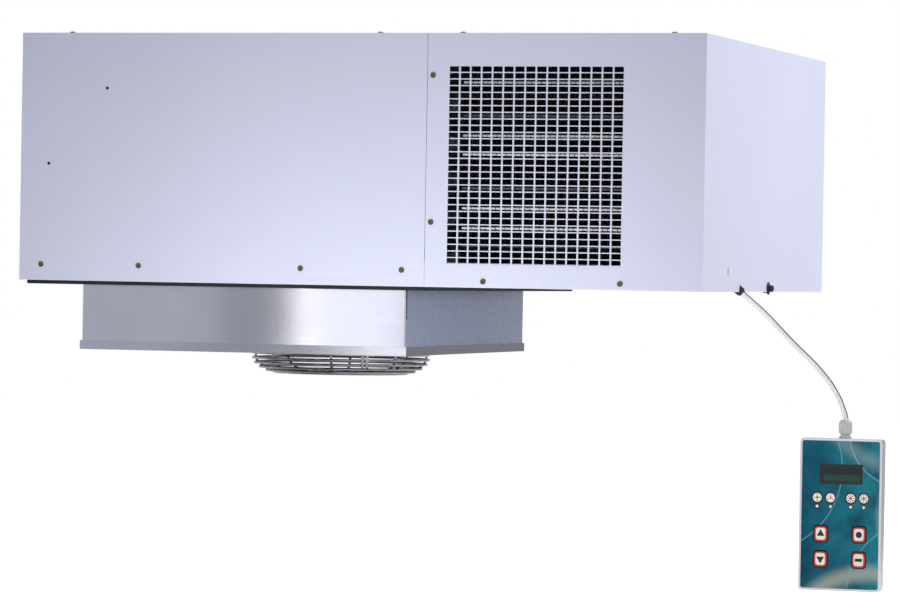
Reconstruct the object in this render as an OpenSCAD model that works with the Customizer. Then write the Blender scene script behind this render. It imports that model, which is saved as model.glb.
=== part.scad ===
// Ceiling monoblock refrigeration unit with an insulated roof plug and a hand remote.
// Millimetres, +Z up, front towards -Y. The origin is the centre of the plug at the roof's surface,
// which is the underside of the gasket.

/* [Casing] */
// Height of the casing panels
casing_h = 330; // [325:5:380]
// Thickness of the casing's sheet
sheet = 1.2; // [1:0.1:1.6]
// Distance from the plug to the casing's left side
plug_inset = 60; // [60:1:68]
// Distance from the plug to the seam between the sections
plug_to_seam = 50; // [46:1:60]
// Distance from the plug to the casing's front, and to its rear
plug_setback = 80; // [74:1:100]
// Width of the condensing section, from the seam to the right side
condenser_w = 374; // [360:2:420]
// Gap at the seams between panels
seam_gap = 0.6; // [0.4:0.1:1]
// Width of the panels' returned edges
return_w = 12; // [9:1:15]
// Height of the evaporator panel's row of screws above its lower edge
screw_row_h = 19.5; // [16:0.5:23]
// Diameter of the panel screws' heads
screw_head_d = 7.5; // [6:0.5:9]

/* [Air grille] */
// Distance from the seam to the first column of holes
grille_inset = 30; // [22:1:36]
// Height of the lowest row of holes above the panel's lower edge
grille_sill = 29; // [24:1:34]
// Width of one punched hole
hole_w = 12.6; // [11:0.1:13]
// Height of one punched hole
hole_h = 7.2; // [6:0.1:7.6]
// Spacing of the columns
column_pitch = 14.8; // [14.5:0.1:15.2]
// Spacing of the rows
row_pitch = 8.63; // [8.3:0.05:8.9]
// Number of columns of holes
grille_columns = 16; // [12:1:16]
// Space above the grille's highest row of holes
grille_top_gap = 42; // [40:1:60]

/* [Base and roof seal] */
// Thickness of the base pan's sheet
base_t = 2; // [1.5:0.1:2.5]
// Height of the base pan's upturned edge
base_lip_h = 30; // [27:1:34]
// Thickness of the gasket between the base pan and the roof
gasket_t = 5; // [4:0.5:7]
// Width of the gasket round the plug
gasket_w = 58; // [50:1:59]

/* [Plug] */
// Width of the insulated plug
plug_w = 461; // [440:1:468]
// Depth of the insulated plug
plug_d = 565; // [540:5:590]
// Depth of the plug below the roof's surface, to the underside of its tray
plug_h = 88; // [80:1:110]
// Thickness of the plug's foam walls
foam_t = 30; // [24:1:34]
// Thickness of the plug's steel skin
skin_t = 1; // [0.8:0.1:1.2]
// Height of the tray's rim
rim_h = 12; // [10:1:16]
// How far the tray's rim stands out from the skin
rim_proud = 2; // [1:0.5:3]

/* [Evaporator section] */
// Radius of the evaporator fan at its blade tips
room_fan_r = 111; // [95:1:112]
// Space between the fan's opening and the plug's foam
fan_opening_gap = 37.5; // [30:0.5:42]
// Running gap between the blade tips and the fan opening
tip_gap = 4; // [3:0.5:6]
// Outer radius of the fan guard
guard_r = 124; // [120:1:128]
// Height of the fan guard below the tray
guard_h = 30; // [26:1:36]
// Radius of the guard's wires
wire_r = 1.4; // [1.2:0.1:1.8]
// Thickness of the insulated box over the evaporator
box_wall = 42; // [36:1:44]
// Space between the insulated box and the casing's lid
box_lid_gap = 28.8; // [25:0.2:34]
// Length of the evaporator coil's fins across the air stream
cold_coil_t = 66; // [60:1:72]
// Space between the evaporator coil and the insulated box's ceiling
cold_coil_top_gap = 45; // [40:1:70]
// Space for the tubes' ends beyond each end of the evaporator coil
cold_coil_end_gap = 31.5; // [28:0.5:45]

/* [Condensing section] */
// Space beside the condenser coil for its tubes' ends and the pipes
hot_coil_side_gap = 84; // [80:1:100]
// How much lower than the casing's panels the condenser coil is
hot_coil_top_gap = 55; // [50:1:70]
// Depth of the condenser coil
hot_coil_t = 50; // [46:1:54]
// Spacing of the condenser's tubes
tube_pitch = 25; // [25:1:27]
// Radius of the coils' tubes
coil_tube_r = 4.8; // [4:0.2:5.4]
// Space between the condenser fan's tips and the coil's nearest edge
hot_fan_margin = 15.5; // [13:0.5:30]
// Radius of the compressor's shell
compressor_r = 78; // [70:1:82]
// Height of the compressor's shell
compressor_h = 195; // [180:5:205]
// Radius of the suction pipe
suction_r = 5; // [4:0.5:6]
// Radius of the liquid and discharge pipes
liquid_r = 3.2; // [3:0.1:4]

/* [Remote control] */
// Width of the remote
remote_w = 110; // [106:1:120]
// Height of the remote
remote_h = 201; // [190:1:215]
// Thickness of the remote
remote_d = 22; // [20:1:28]
// Thickness of the remote's shell
shell_t = 2.2; // [2:0.1:2.6]
// Width of the frame round the remote's overlay
frame_w = 3; // [2.5:0.1:4]
// Corner radius of the remote
corner_r = 5; // [4:0.5:7]
// Width of a key
key_w = 19.6; // [17:0.2:21]
// Height of a key
key_h = 22.4; // [20:0.2:23]
// Travel of a key
key_travel = 0.5; // [0.3:0.1:0.6]
// Width of the display's window
window_w = 52; // [46:1:56]
// Height of the display's window
window_h = 21; // [18:1:24]
// Diameter of an indicator
led_d = 14; // [12:0.5:15]

/* [Cable and gland] */
// Diameter of the remote's cable
cable_d = 7; // [6:0.5:8]
// Diameter of the cable gland's nut
gland_d = 18; // [16:0.5:20]
// Height of the cable gland
gland_h = 24.5; // [22:0.5:28]

/* [Hidden] */
$fn = 48;

// How far a cutting shape runs past what it cuts
overrun = 1;
// Space left between neighbours inside the machine
clear = 2;
// Clearance of a part that is pushed into a hole and stays there
fixed_gap = 0.2;
// Clearance between parts that move past each other
running_gap = 0.4;
// Radial clearance of a shaft in its bearing
shaft_gap = 0.05;
shaft_r = 4;

// Planes of the casing, which is laid out round the plug
casing_w = plug_inset + plug_w + plug_to_seam + condenser_w;
casing_d = plug_d + 2 * plug_setback;
evaporator_w = casing_w - condenser_w;
left_x = -plug_inset - plug_w / 2;
right_x = left_x + casing_w;
seam_x = left_x + evaporator_w;
front_y = -casing_d / 2;
rear_y = casing_d / 2;
pan_z = gasket_t;
floor_z = pan_z + base_t;
top_z = floor_z + casing_h;
lid_z = top_z - sheet;
// Highest point of the inner lips that the panels are screwed to
lip_z = floor_z + base_lip_h;

// As many rows of holes as fit between the grille's sill and its top gap
grille_rows = floor((casing_h - grille_sill - grille_top_gap) / row_pitch);

// Screws, as shares of the panels that they hold
evaporator_screw_shares = [0.055, 0.3, 0.7, 0.945];
sill_screw_shares = [0.214, 0.707];
seam_screw_shares = [0.251, 0.833];
lid_screw_shares = [0.12, 0.88];
seam_screw_inset = 7.5;
sill_screw_h = 6.3;
screw_r = 2;
screw_l = 9;
screw_head_h = 2;
slot_w = 1;

// Cable notches at the foot of the right side panel
spare_from_front = 376;
spare_y = front_y + spare_from_front;
notch_r = 6.5;
grommet_l = 13;
spare_rise = 3;
spare_z = floor_z + spare_rise;
stub_r = 4.5;
stub_l = 8;
flange_t = 1.5;
flange_proud = 2;
cap_from_front = 141;
cap_rise = 25.5;
cap_y = front_y + cap_from_front;
cap_z = floor_z + cap_rise;
cap_r = 5;
cap_hole_r = 3.5;
cap_dome_h = 4;

// The cable's route from the grommet to the remote's gland, as steps out and down from the foot of the
// side panel, and the direction of its first stretch
cable_steps = [[3.5, -4], [15.5, -14], [27.5, -24], [39.5, -35], [51.5, -47], [63.5, -59], [74.5, -70],
  [85.5, -80], [96.5, -90], [106.5, -100], [115.5, -110], [124.5, -121], [131.5, -132], [137.5, -143],
  [141.5, -153], [144.5, -161], [145.5, -165], [145.5, -168]];
cable_from_front = 211.5;
cable_route = [for (s = cable_steps) [right_x + s[0], front_y + cable_from_front, floor_z + s[1]]];
cable_start = cable_route[0];
cable_end = cable_route[len(cable_route) - 1];
cable_tilt = atan2(cable_start[2] - cable_route[1][2], cable_route[1][0] - cable_start[0]);
cable_sides = 8;

// Bulkhead between the two sections
bulkhead_x = seam_x + return_w + sheet;
bulkhead_flange_w = 2 * return_w;

// Exhaust slots in the rear panel
slot_rows = 14;
exhaust_gap = 24;
exhaust_margin = 45;
exhaust_w = (condenser_w - exhaust_gap) / 2 - exhaust_margin;
exhaust_h = 8;

// A box from its lowest corner
module block(corner, size) {
  translate(corner) cube(size);
}

// A cylinder along +X, +Y or +Z from a point
module bar_x(start, r, l) {
  translate(start) rotate([0, 90, 0]) cylinder(r = r, h = l);
}
module bar_y(start, r, l) {
  translate(start) rotate([-90, 0, 0]) cylinder(r = r, h = l);
}
module bar_z(start, r, l) {
  translate(start) cylinder(r = r, h = l);
}

// A rounded pipe through a list of points
module pipe(points, r) {
  for (i = [1 : len(points) - 1]) {
    step = points[i] - points[i - 1];
    translate(points[i - 1])
      rotate([0, acos(step[2] / norm(step)), atan2(step[1], step[0])])
        cylinder(r = r, h = norm(step));
  }
  for (i = [1 : len(points) - 2]) translate(points[i]) sphere(r = r);
}

// Where the screws enter the front panels, as [x, z]
function front_screws() = [
  for (s = evaporator_screw_shares) [left_x + s * evaporator_w, floor_z + screw_row_h],
  for (s = sill_screw_shares) [seam_x + s * (right_x - seam_x), floor_z + sill_screw_h],
  for (s = seam_screw_shares) [seam_x + seam_screw_inset, floor_z + s * casing_h]
];
// Where the screws enter the lids, as [x, y]
function lid_screws() = [
  for (s = lid_screw_shares, y = [front_y + return_w * 0.6 + sheet, rear_y - return_w * 0.6 - sheet])
    [left_x + s * evaporator_w, y],
  for (s = lid_screw_shares, y = [front_y + return_w * 0.6 + sheet, rear_y - return_w * 0.6 - sheet])
    [seam_x + s * (right_x - seam_x), y]
];

// The holes that all the panel screws pass through
module screw_holes() {
  r = screw_r + fixed_gap;
  for (p = front_screws()) {
    bar_y([p[0], front_y - overrun, p[1]], r, screw_l + 2 * overrun);
    bar_y([p[0], rear_y - screw_l - overrun, p[1]], r, screw_l + 2 * overrun);
  }
  for (p = lid_screws()) bar_z([p[0], p[1], top_z - screw_l - overrun], r, screw_l + 2 * overrun);
}

// One screw along +Z whose head's underside is at the origin, with a driver slot across the head
module screw() {
  difference() {
    rotate_extrude() polygon([[0, -screw_l], [screw_r, -screw_l + screw_r], [screw_r, 0],
      [screw_head_d / 2, 0], [screw_head_d / 2, screw_head_h / 2], [screw_head_d / 3, screw_head_h],
      [0, screw_head_h]]);
    block([-screw_head_d, -slot_w / 2, screw_head_h / 2], [2 * screw_head_d, slot_w, screw_head_h]);
  }
}

module panel_screws() color("#8a7a5c") {
  for (p = front_screws()) {
    translate([p[0], front_y, p[1]]) rotate([90, 0, 0]) screw();
    translate([p[0], rear_y, p[1]]) rotate([-90, 0, 0]) screw();
  }
  for (p = lid_screws()) translate([p[0], p[1], top_z]) screw();
}

// A wall sheet between x = a and x = b on the front, with a returned edge under the lid
module wall_y(a, b) {
  block([a, front_y, floor_z], [b - a, sheet, casing_h]);
  block([a + sheet + fixed_gap, front_y, lid_z - sheet],
    [b - a - 2 * (sheet + fixed_gap), sheet + return_w, sheet]);
}

// A wall sheet on the left side, with a returned edge between the front's and the rear's
module wall_x() {
  block([left_x, front_y + sheet, floor_z], [sheet, casing_d - 2 * sheet, casing_h]);
  block([left_x, front_y + sheet + return_w + fixed_gap, lid_z - sheet],
    [sheet + return_w, casing_d - 2 * (sheet + return_w + fixed_gap), sheet]);
}

// The punched field of the air grille
module grille_holes() {
  for (i = [0 : grille_columns - 1], j = [0 : grille_rows - 1])
    translate([seam_x + grille_inset + i * column_pitch, floor_z + grille_sill + j * row_pitch])
      square([hole_w, hole_h]);
}

module evaporator_front_panel() color("#c9cede") difference() {
  wall_y(left_x, seam_x - seam_gap);
  screw_holes();
}

module evaporator_rear_panel() color("#c9cede") mirror([0, 1, 0]) difference() {
  wall_y(left_x, seam_x - seam_gap);
  screw_holes();
}

module evaporator_side_panel() color("#c9cede") wall_x();

module evaporator_lid() color("#c9cede") difference() {
  block([left_x + sheet, front_y + sheet, lid_z],
    [evaporator_w - sheet - seam_gap, casing_d - 2 * sheet, sheet]);
  screw_holes();
}

module condenser_front_panel() color("#d3d7e4") difference() {
  wall_y(seam_x, right_x);
  translate([0, front_y - overrun, 0]) rotate([90, 0, 0]) translate([0, 0, -sheet - 2 * overrun])
    linear_extrude(sheet + 2 * overrun) grille_holes();
  screw_holes();
}

module condenser_rear_panel() color("#d3d7e4") difference() {
  mirror([0, 1, 0]) wall_y(seam_x, right_x);
  for (i = [0, 1], j = [0 : slot_rows - 1])
    block([seam_x + (right_x - seam_x - exhaust_gap) / 2 - exhaust_w + i * (exhaust_w + exhaust_gap),
        rear_y - sheet - overrun, floor_z + grille_sill + j * 2 * row_pitch],
      [exhaust_w, sheet + 2 * overrun, exhaust_h]);
  screw_holes();
  drain_hole();
}

// The cable's notch, cut along the cable's own slope
module cable_notch() {
  translate(cable_start) rotate([0, 90 + cable_tilt, 0])
    cylinder(r = notch_r, h = 3 * grommet_l, center = true);
}

module spare_notch() {
  bar_x([right_x - return_w, spare_y, spare_z], notch_r, return_w + overrun);
}

module condenser_side_panel() color("#d9dde9") difference() {
  translate([left_x + right_x, 0, 0]) mirror([1, 0, 0]) wall_x();
  cable_notch();
  spare_notch();
  bar_x([right_x - sheet - overrun, cap_y, cap_z], cap_hole_r + fixed_gap, sheet + 2 * overrun);
}

module condenser_lid() color("#d3d7e4") difference() {
  block([seam_x, front_y + sheet, lid_z], [right_x - seam_x - sheet, casing_d - 2 * sheet, sheet]);
  screw_holes();
}

// The pan under the whole machine, open over the plug, with lips inside the panels
module base_pan() color("#dfe3ea") difference() {
  union() {
    block([left_x, front_y, pan_z], [casing_w, casing_d, base_t]);
    difference() {
      block([left_x + sheet, front_y + sheet, pan_z],
        [casing_w - 2 * sheet, casing_d - 2 * sheet, base_t + base_lip_h]);
      block([left_x + sheet + base_t, front_y + sheet + base_t, floor_z],
        [casing_w - 2 * (sheet + base_t), casing_d - 2 * (sheet + base_t), base_lip_h + overrun]);
    }
  }
  block([-plug_w / 2 + foam_t + skin_t, -plug_d / 2 + foam_t + skin_t, pan_z - overrun],
    [plug_w - 2 * (foam_t + skin_t), plug_d - 2 * (foam_t + skin_t), base_t + 2 * overrun]);
  screw_holes();
  cable_notch();
  spare_notch();
  bar_x([right_x - 2 * return_w, cap_y, cap_z], cap_hole_r + fixed_gap, 2 * return_w + overrun);
  drain_hole();
}

module roof_gasket() color("#16171a") difference() {
  block([-plug_w / 2 - gasket_w, -plug_d / 2 - gasket_w, 0],
    [plug_w + 2 * gasket_w, plug_d + 2 * gasket_w, gasket_t]);
  block([-plug_w / 2 - fixed_gap, -plug_d / 2 - fixed_gap, -overrun],
    [plug_w + 2 * fixed_gap, plug_d + 2 * fixed_gap, gasket_t + 2 * overrun]);
}

// The divider between the sections, with flanges behind the seams
module bulkhead() color("#9aa0a8") difference() {
  union() {
    block([bulkhead_x, front_y + sheet + base_t, floor_z],
      [sheet, casing_d - 2 * (sheet + base_t), lid_z - sheet - floor_z]);
    for (y = [front_y + sheet, rear_y - 2 * sheet])
      block([bulkhead_x + sheet - bulkhead_flange_w, y, lip_z + fixed_gap],
        [bulkhead_flange_w, sheet, lid_z - sheet - fixed_gap - lip_z - fixed_gap]);
    for (y = [front_y + sheet, rear_y - sheet - base_t])
      block([bulkhead_x, y, lip_z + fixed_gap],
        [sheet, base_t, lid_z - sheet - fixed_gap - lip_z - fixed_gap]);
  }
  screw_holes();
  drain_hole();
  pipe_holes();
}

// Plastic plug in the side panel's hole
module side_hole_cap() color("#e8ebf2") translate([right_x, cap_y, cap_z]) rotate([0, 90, 0])
  rotate_extrude() polygon([[0, -sheet - base_t - overrun], [cap_hole_r, -sheet - base_t - overrun],
    [cap_hole_r, 0], [cap_r, 0], [cap_r, cap_dome_h / 2], [cap_r * 0.7, cap_dome_h * 0.9],
    [0, cap_dome_h]]);

// Rubber sleeve that the remote's cable leaves through
module cable_grommet() color("#1d1d20") translate(cable_start) rotate([0, 90 + cable_tilt, 0])
  translate([0, 0, -grommet_l])
    rotate_extrude() polygon([[0, 0], [notch_r - fixed_gap, 0],
      [notch_r - fixed_gap, grommet_l * 0.75], [cable_d / 2 + 1.5 * fixed_gap, grommet_l],
      [0, grommet_l]]);

// Blind rubber bung with a stub in the spare cable notch
module spare_cable_entry() color("#2a2b2e") translate([right_x, spare_y, spare_z]) rotate([0, 90, 0])
  rotate_extrude() polygon([[0, -return_w / 2], [notch_r - fixed_gap, -return_w / 2],
    [notch_r - fixed_gap, 0], [notch_r + flange_proud, 0], [notch_r + flange_proud, flange_t],
    [stub_r, flange_t], [stub_r, stub_l - flange_t], [stub_r - flange_t, stub_l], [0, stub_l]]);

// Plug and its tray
tray_z = -plug_h;
inner_x = plug_w / 2 - skin_t - foam_t;
inner_y = plug_d / 2 - skin_t - foam_t;
room_fan_hole_r = room_fan_r + tip_gap;
room_fan_x = inner_x - fan_opening_gap - room_fan_hole_r;
collar_h = 24;
outlet_margin = 8;
outlet_x0 = outlet_margin - inner_x;
outlet_x1 = room_fan_x - room_fan_hole_r - 2 * outlet_margin;
outlet_y = inner_y - 3 * outlet_margin;
slat_count = 9;
slat_angle = 35;
slat_t = 1;
guard_screw_r = 2;
guard_tab_l = 16;
guard_tab_w = 14;
guard_tab_t = 1.5;
guard_turn = 57;

// A ring of four walls round the plug's axis, from outer half sizes inwards
module square_ring(x, y, wall, z0, z1) {
  difference() {
    block([-x, -y, z0], [2 * x, 2 * y, z1 - z0]);
    block([-x + wall, -y + wall, z0 - overrun], [2 * (x - wall), 2 * (y - wall), z1 - z0 + 2 * overrun]);
  }
}

// Turns a piece to each of the guard's four feet
module at_guard_feet() {
  for (i = [0 : 3])
    translate([room_fan_x, 0, tray_z]) rotate([0, 0, guard_turn + i * 90]) children();
}

module plug_skin() color("#c3c6cb")
  square_ring(plug_w / 2, plug_d / 2, skin_t, tray_z + skin_t, pan_z);

module plug_insulation() color("#efe7c8")
  square_ring(plug_w / 2 - skin_t, plug_d / 2 - skin_t, foam_t, tray_z + skin_t, pan_z);

// Bottom tray with its outer rim, the fan's opening with a collar, and the air outlet
module plug_tray() color("#b5bac3") difference() {
  union() {
    square_ring(plug_w / 2 + rim_proud, plug_d / 2 + rim_proud, rim_proud - fixed_gap, tray_z,
      tray_z + rim_h);
    block([-plug_w / 2, -plug_d / 2, tray_z], [plug_w, plug_d, skin_t]);
    square_ring(plug_w / 2 + fixed_gap, plug_d / 2 + fixed_gap, 2 * fixed_gap, tray_z, tray_z + skin_t);
    bar_z([room_fan_x, 0, tray_z], room_fan_hole_r + sheet, collar_h);
  }
  bar_z([room_fan_x, 0, tray_z - overrun], room_fan_hole_r, collar_h + 2 * overrun);
  block([outlet_x0, -outlet_y, tray_z - overrun],
    [outlet_x1 - outlet_x0, 2 * outlet_y, skin_t + 2 * overrun]);
  at_guard_feet() bar_z([guard_r + guard_tab_l / 2, 0, -overrun], guard_screw_r + fixed_gap,
    skin_t + 2 * overrun);
}

// Frame with slanted slats in the air outlet
module outlet_louvre() color("#d8dbe2") {
  w = outlet_x1 - outlet_x0 - 2 * fixed_gap;
  d = 2 * (outlet_y - fixed_gap);
  translate([(outlet_x0 + outlet_x1) / 2, 0, 0]) {
    square_ring(w / 2, d / 2, 2 * slat_t, tray_z, tray_z + rim_h);
    for (i = [0 : slat_count - 1])
      translate([-w / 2 + (i + 0.7) * w / (slat_count + 0.4), 0, tray_z + rim_h / 2])
        rotate([0, slat_angle, 0])
          cube([slat_t, d - 2 * slat_t, rim_h * 0.9], center = true);
  }
}

// Guard: rings at falling heights, given as shares of its radius and of its height, on radial wires
guard_ring_shares = [[1, 0.06], [1, 0.3], [0.975, 0.52], [0.92, 0.72], [0.84, 0.87], [0.75, 0.95],
  [0.65, 0.95], [0.55, 0.95], [0.45, 0.95], [0.35, 0.95], [0.25, 0.95], [0.15, 0.95]];
spoke_rings = [1 : 5];
spoke_count = 8;
spoke_offset = 2 * wire_r + fixed_gap;
function unit(v) = v / norm(v);
function guard_point(i) = [guard_ring_shares[i][0] * guard_r, 0, -guard_ring_shares[i][1] * guard_h - wire_r];
// A point of a spoke, on the inner side of a ring
function spoke_point(i) = let (run = unit(guard_point(i + 1) - guard_point(i - 1)))
  guard_point(i) + spoke_offset * [run[2], 0, -run[0]];
guard_last = len(guard_ring_shares) - 1;
spoke_path = concat([[spoke_point(1)[0], 0, 0]], [for (i = spoke_rings) spoke_point(i)],
  [guard_point(guard_last) + [0, 0, spoke_offset]]);
spoke_last = len(spoke_path) - 1;
// The two edges of a flat spoke, square to its path at each point
function spoke_edge(i, side) =
  let (run = unit(spoke_path[min(i + 1, spoke_last)] - spoke_path[max(i - 1, 0)]))
  [spoke_path[i][0] + side * wire_r * run[2], spoke_path[i][2] - side * wire_r * run[0]];
module spoke() {
  rotate([90, 0, 0]) linear_extrude(2 * wire_r, center = true) polygon(concat(
    [for (i = [0 : spoke_last]) spoke_edge(i, 1)], [for (i = [spoke_last : -1 : 0]) spoke_edge(i, -1)]));
}

module fan_guard() color("#dfe3e8") {
  translate([room_fan_x, 0, tray_z]) {
    for (i = [0 : guard_last]) translate([0, 0, guard_point(i)[2]]) rotate_extrude()
      translate([guard_point(i)[0], 0]) circle(r = wire_r);
    for (i = [0 : spoke_count - 1]) rotate([0, 0, guard_turn + i * 360 / spoke_count]) difference() {
      spoke();
      block([0, -guard_tab_w, 0], [2 * guard_r, 2 * guard_tab_w, guard_h]);
    }
  }
  at_guard_feet() difference() {
    block([spoke_point(1)[0], -guard_tab_w / 2, -guard_tab_t],
      [guard_r + guard_tab_l - spoke_point(1)[0], guard_tab_w, guard_tab_t]);
    bar_z([guard_r + guard_tab_l / 2, 0, -guard_tab_t - overrun], guard_screw_r + fixed_gap,
      guard_tab_t + 2 * overrun);
  }
}

module fan_guard_screws() color("#5d5f63") at_guard_feet()
  translate([guard_r + guard_tab_l / 2, 0, -guard_tab_t]) rotate([180, 0, 0]) screw();

// Evaporator coil, standing across the insulated box between the fan and the outlet
cold_x = outlet_x1 + outlet_margin;
cold_tray_h = 18;
cold_tray_z = floor_z + cold_tray_h;
cold_z = cold_tray_z + cold_tray_h + clear;
box_h = casing_h - sheet - box_lid_gap;
box_ceiling_z = floor_z + box_h - box_wall;
cold_coil_h = box_ceiling_z - cold_z - cold_coil_top_gap;
// Tubes above each other in a column: an odd number, so that a run starts and ends on one side
function odd_rows(h) = 2 * floor((h / tube_pitch - 1) / 2) + 1;
cold_rows = odd_rows(cold_coil_h);
cold_coil_l = 2 * (inner_y - cold_coil_end_gap);
fin_t = 0.6;
cold_fin_count = 36;
end_plate_t = 1.5;
end_run = 8;

function row_z(z, h, rows, i) = z + h / 2 + (i - (rows - 1) / 2) * tube_pitch;
function col_y(y, t, i) = y + t / 2 + (i - 0.5) * tube_pitch;

// Plates of a coil across X, with holes for two columns of tubes
module coil_plate(x, y, z, plate_t, t, h, rows, y0, t0, z0, h0) {
  translate([x, 0, 0]) rotate([90, 0, 90]) linear_extrude(plate_t) difference() {
    translate([y, z]) square([t, h]);
    for (c = [0, 1], r = [0 : rows - 1])
      translate([col_y(y0, t0, c), row_z(z0, h0, rows, r)]) circle(r = coil_tube_r + shaft_gap);
  }
}

module fin_pack(x, y, z, l, t, h, rows, count) {
  for (i = [0 : count - 1])
    coil_plate(x + (i + 0.5) * l / count, y, z, fin_t, t, h, rows, y, t, z, h);
}

// A half turn of tube from the origin's +Z side to its -Z side, out towards +X
module half_turn() {
  rotate([-90, -90, 0]) rotate_extrude(angle = 180)
    translate([tube_pitch / 2, 0]) circle(r = coil_tube_r);
}

// Two columns of tubes in one run that starts and ends at the top of the +X end
module tube_run(x, y, z, l, t, h, rows) {
  for (c = [0, 1], r = [0 : rows - 1])
    bar_x([x - end_run, col_y(y, t, c), row_z(z, h, rows, r)], coil_tube_r, l + 2 * end_run);
  for (c = [0, 1], r = [0 : rows - 2])
    translate([x + l / 2, col_y(y, t, c), row_z(z, h, rows, r + 0.5)])
      mirror([r % 2, 0, 0]) translate([l / 2 + end_run, 0, 0]) half_turn();
  translate([x - end_run, y + t / 2, row_z(z, h, rows, 0)])
    mirror([1, 0, 0]) rotate([90, 0, 0]) half_turn();
}

// The evaporator's coil is the same run turned to lie front to rear
module cold_coil() {
  rotate([0, 0, 90]) mirror([0, 1, 0]) children();
}

module evaporator_fins() color("#b9bfc6") cold_coil()
  fin_pack(-cold_coil_l / 2, cold_x, cold_z, cold_coil_l, cold_coil_t, cold_coil_h, cold_rows,
    cold_fin_count);

module evaporator_tubes() color("#b87345") cold_coil()
  tube_run(-cold_coil_l / 2, cold_x, cold_z, cold_coil_l, cold_coil_t, cold_coil_h, cold_rows);

module evaporator_end_plates() color("#a6abb2") cold_coil()
  for (x = [-cold_coil_l / 2 - end_plate_t, cold_coil_l / 2])
    coil_plate(x, cold_x, cold_tray_z + sheet, end_plate_t, cold_coil_t,
      box_ceiling_z - cold_tray_z - sheet, cold_rows, cold_x, cold_coil_t, cold_z, cold_coil_h);

// Tray under the coil, on a baffle that parts the fan's side of the plug from the outlet's
tray_lip = 7;
cold_tray_y = inner_y - 2 * tray_lip;
drain_r = 7;
spout_r = 8;
drain_y = cold_tray_y - 2 * drain_r;
drain_z = floor_z + drain_r + clear;
drain_out = 18;
drain_x = bulkhead_x + sheet + 3.5 * drain_r;
drain_path = [[cold_x + cold_coil_t / 2, drain_y, cold_tray_z], [cold_x + cold_coil_t / 2, drain_y, drain_z],
  [drain_x, drain_y, drain_z], [drain_x, rear_y + drain_out, drain_z]];

module drip_tray() color("#c4c8ce") difference() {
  union() {
    difference() {
      block([cold_x - tray_lip, -cold_tray_y, cold_tray_z],
        [cold_coil_t + 2 * tray_lip, 2 * cold_tray_y, cold_tray_h]);
      block([cold_x - tray_lip + sheet, -cold_tray_y + sheet, cold_tray_z + sheet],
        [cold_coil_t + 2 * (tray_lip - sheet), 2 * (cold_tray_y - sheet), cold_tray_h]);
    }
    block([cold_x - tray_lip, -inner_y, tray_z + skin_t],
      [sheet, 2 * inner_y, cold_tray_z - tray_z - skin_t + sheet]);
  }
  bar_z([cold_x + cold_coil_t / 2, drain_y, cold_tray_z - overrun], drain_r - skin_t, sheet + 2 * overrun);
}

module drain_pipe() color("#d9dbdd") difference() {
  union() {
    pipe(drain_path, drain_r);
    bar_y([drain_x, rear_y + fixed_gap, drain_z], spout_r, drain_out - fixed_gap);
  }
  bar_y([drain_x, rear_y, drain_z], drain_r - skin_t, drain_out + overrun);
}

// The way that the drain takes through walls
module drain_hole() {
  pipe([drain_path[1], drain_path[2], drain_path[3] + [0, overrun, 0]], drain_r + fixed_gap);
}

// Heating rod in the drip tray
heater_r = 3.2;
module defrost_heater() color("#6f7278") {
  x0 = cold_x + cold_coil_t * 0.25;
  x1 = cold_x + cold_coil_t * 0.75;
  y = cold_coil_l / 2 - end_run;
  z = cold_tray_z + sheet + heater_r;
  pipe([[x0, -y, z], [x0, y, z], [x1, y, z], [x1, -y, z]], heater_r);
}

// Insulated box over the plug, open below
module insulated_box() color("#f1efe6") difference() {
  block([-inner_x - box_wall, -inner_y - box_wall, floor_z],
    [2 * (inner_x + box_wall), 2 * (inner_y + box_wall), box_h]);
  block([-inner_x, -inner_y, floor_z - overrun],
    [2 * inner_x, 2 * inner_y, box_ceiling_z - floor_z + overrun]);
  drain_hole();
  pipe_holes();
}

// Fans: a hub with tilted blades and a shaft along +Z, centred on the blades
blade_count = 5;
blade_tilt = 27;
blade_t = 1.6;
module fan(tip_r, hub_r, hub_h, shaft_end) {
  root = hub_r * 0.9;
  chord = tip_r * 0.62;
  difference() {
    union() {
      for (i = [0 : blade_count - 1]) rotate([0, 0, i * 360 / blade_count]) intersection() {
        rotate([blade_tilt, 0, 0]) translate([0, 0, -blade_t / 2]) linear_extrude(blade_t)
          polygon([[root, -chord * 0.28], [tip_r * 0.7, -chord * 0.42], [tip_r, -chord * 0.55],
            [tip_r * 1.1, 0], [tip_r, chord * 0.4], [tip_r * 0.7, chord * 0.4], [root, chord * 0.28]]);
        translate([0, 0, -tip_r]) cylinder(r = tip_r, h = 2 * tip_r);
      }
      translate([0, 0, -hub_h / 2]) cylinder(r = hub_r, h = hub_h);
      cylinder(r = shaft_r, h = shaft_end);
    }
    translate([0, 0, -hub_h / 2 - overrun]) cylinder(r = hub_r * 0.8, h = hub_h * 0.3 + overrun);
  }
}

// Motors: a finned can along +Z from the origin, with a bearing bore at its foot
module motor(r, h, bore_l) {
  difference() {
    rotate_extrude() polygon([[0, 0], [r * 0.5, 0], [r * 0.5, h * 0.08], [r * 0.94, h * 0.12], [r, h * 0.2],
      [r, h * 0.85], [r * 0.9, h], [0, h]]);
    translate([0, 0, -overrun]) cylinder(r = shaft_r + shaft_gap, h = bore_l + overrun);
    for (i = [0 : 11]) rotate([0, 0, i * 30]) block([r * 0.95, -r * 0.05, h * 0.25], [r, r * 0.1, h * 0.5]);
  }
}

room_hub_r = 34;
room_hub_h = 30;
hub_gap = 8;
room_fan_z = tray_z + collar_h;
room_motor_z = room_fan_z + room_hub_h / 2 + hub_gap;
room_motor_r = 40;
room_motor_h = 72;
bearing_l = 18;
bracket_w = 34;
bracket_t = 2.5;

module evaporator_fan() color("#3c4046") translate([room_fan_x, 0, room_fan_z])
  fan(room_fan_r, room_hub_r, room_hub_h, room_motor_z + bearing_l - overrun - room_fan_z);

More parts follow.
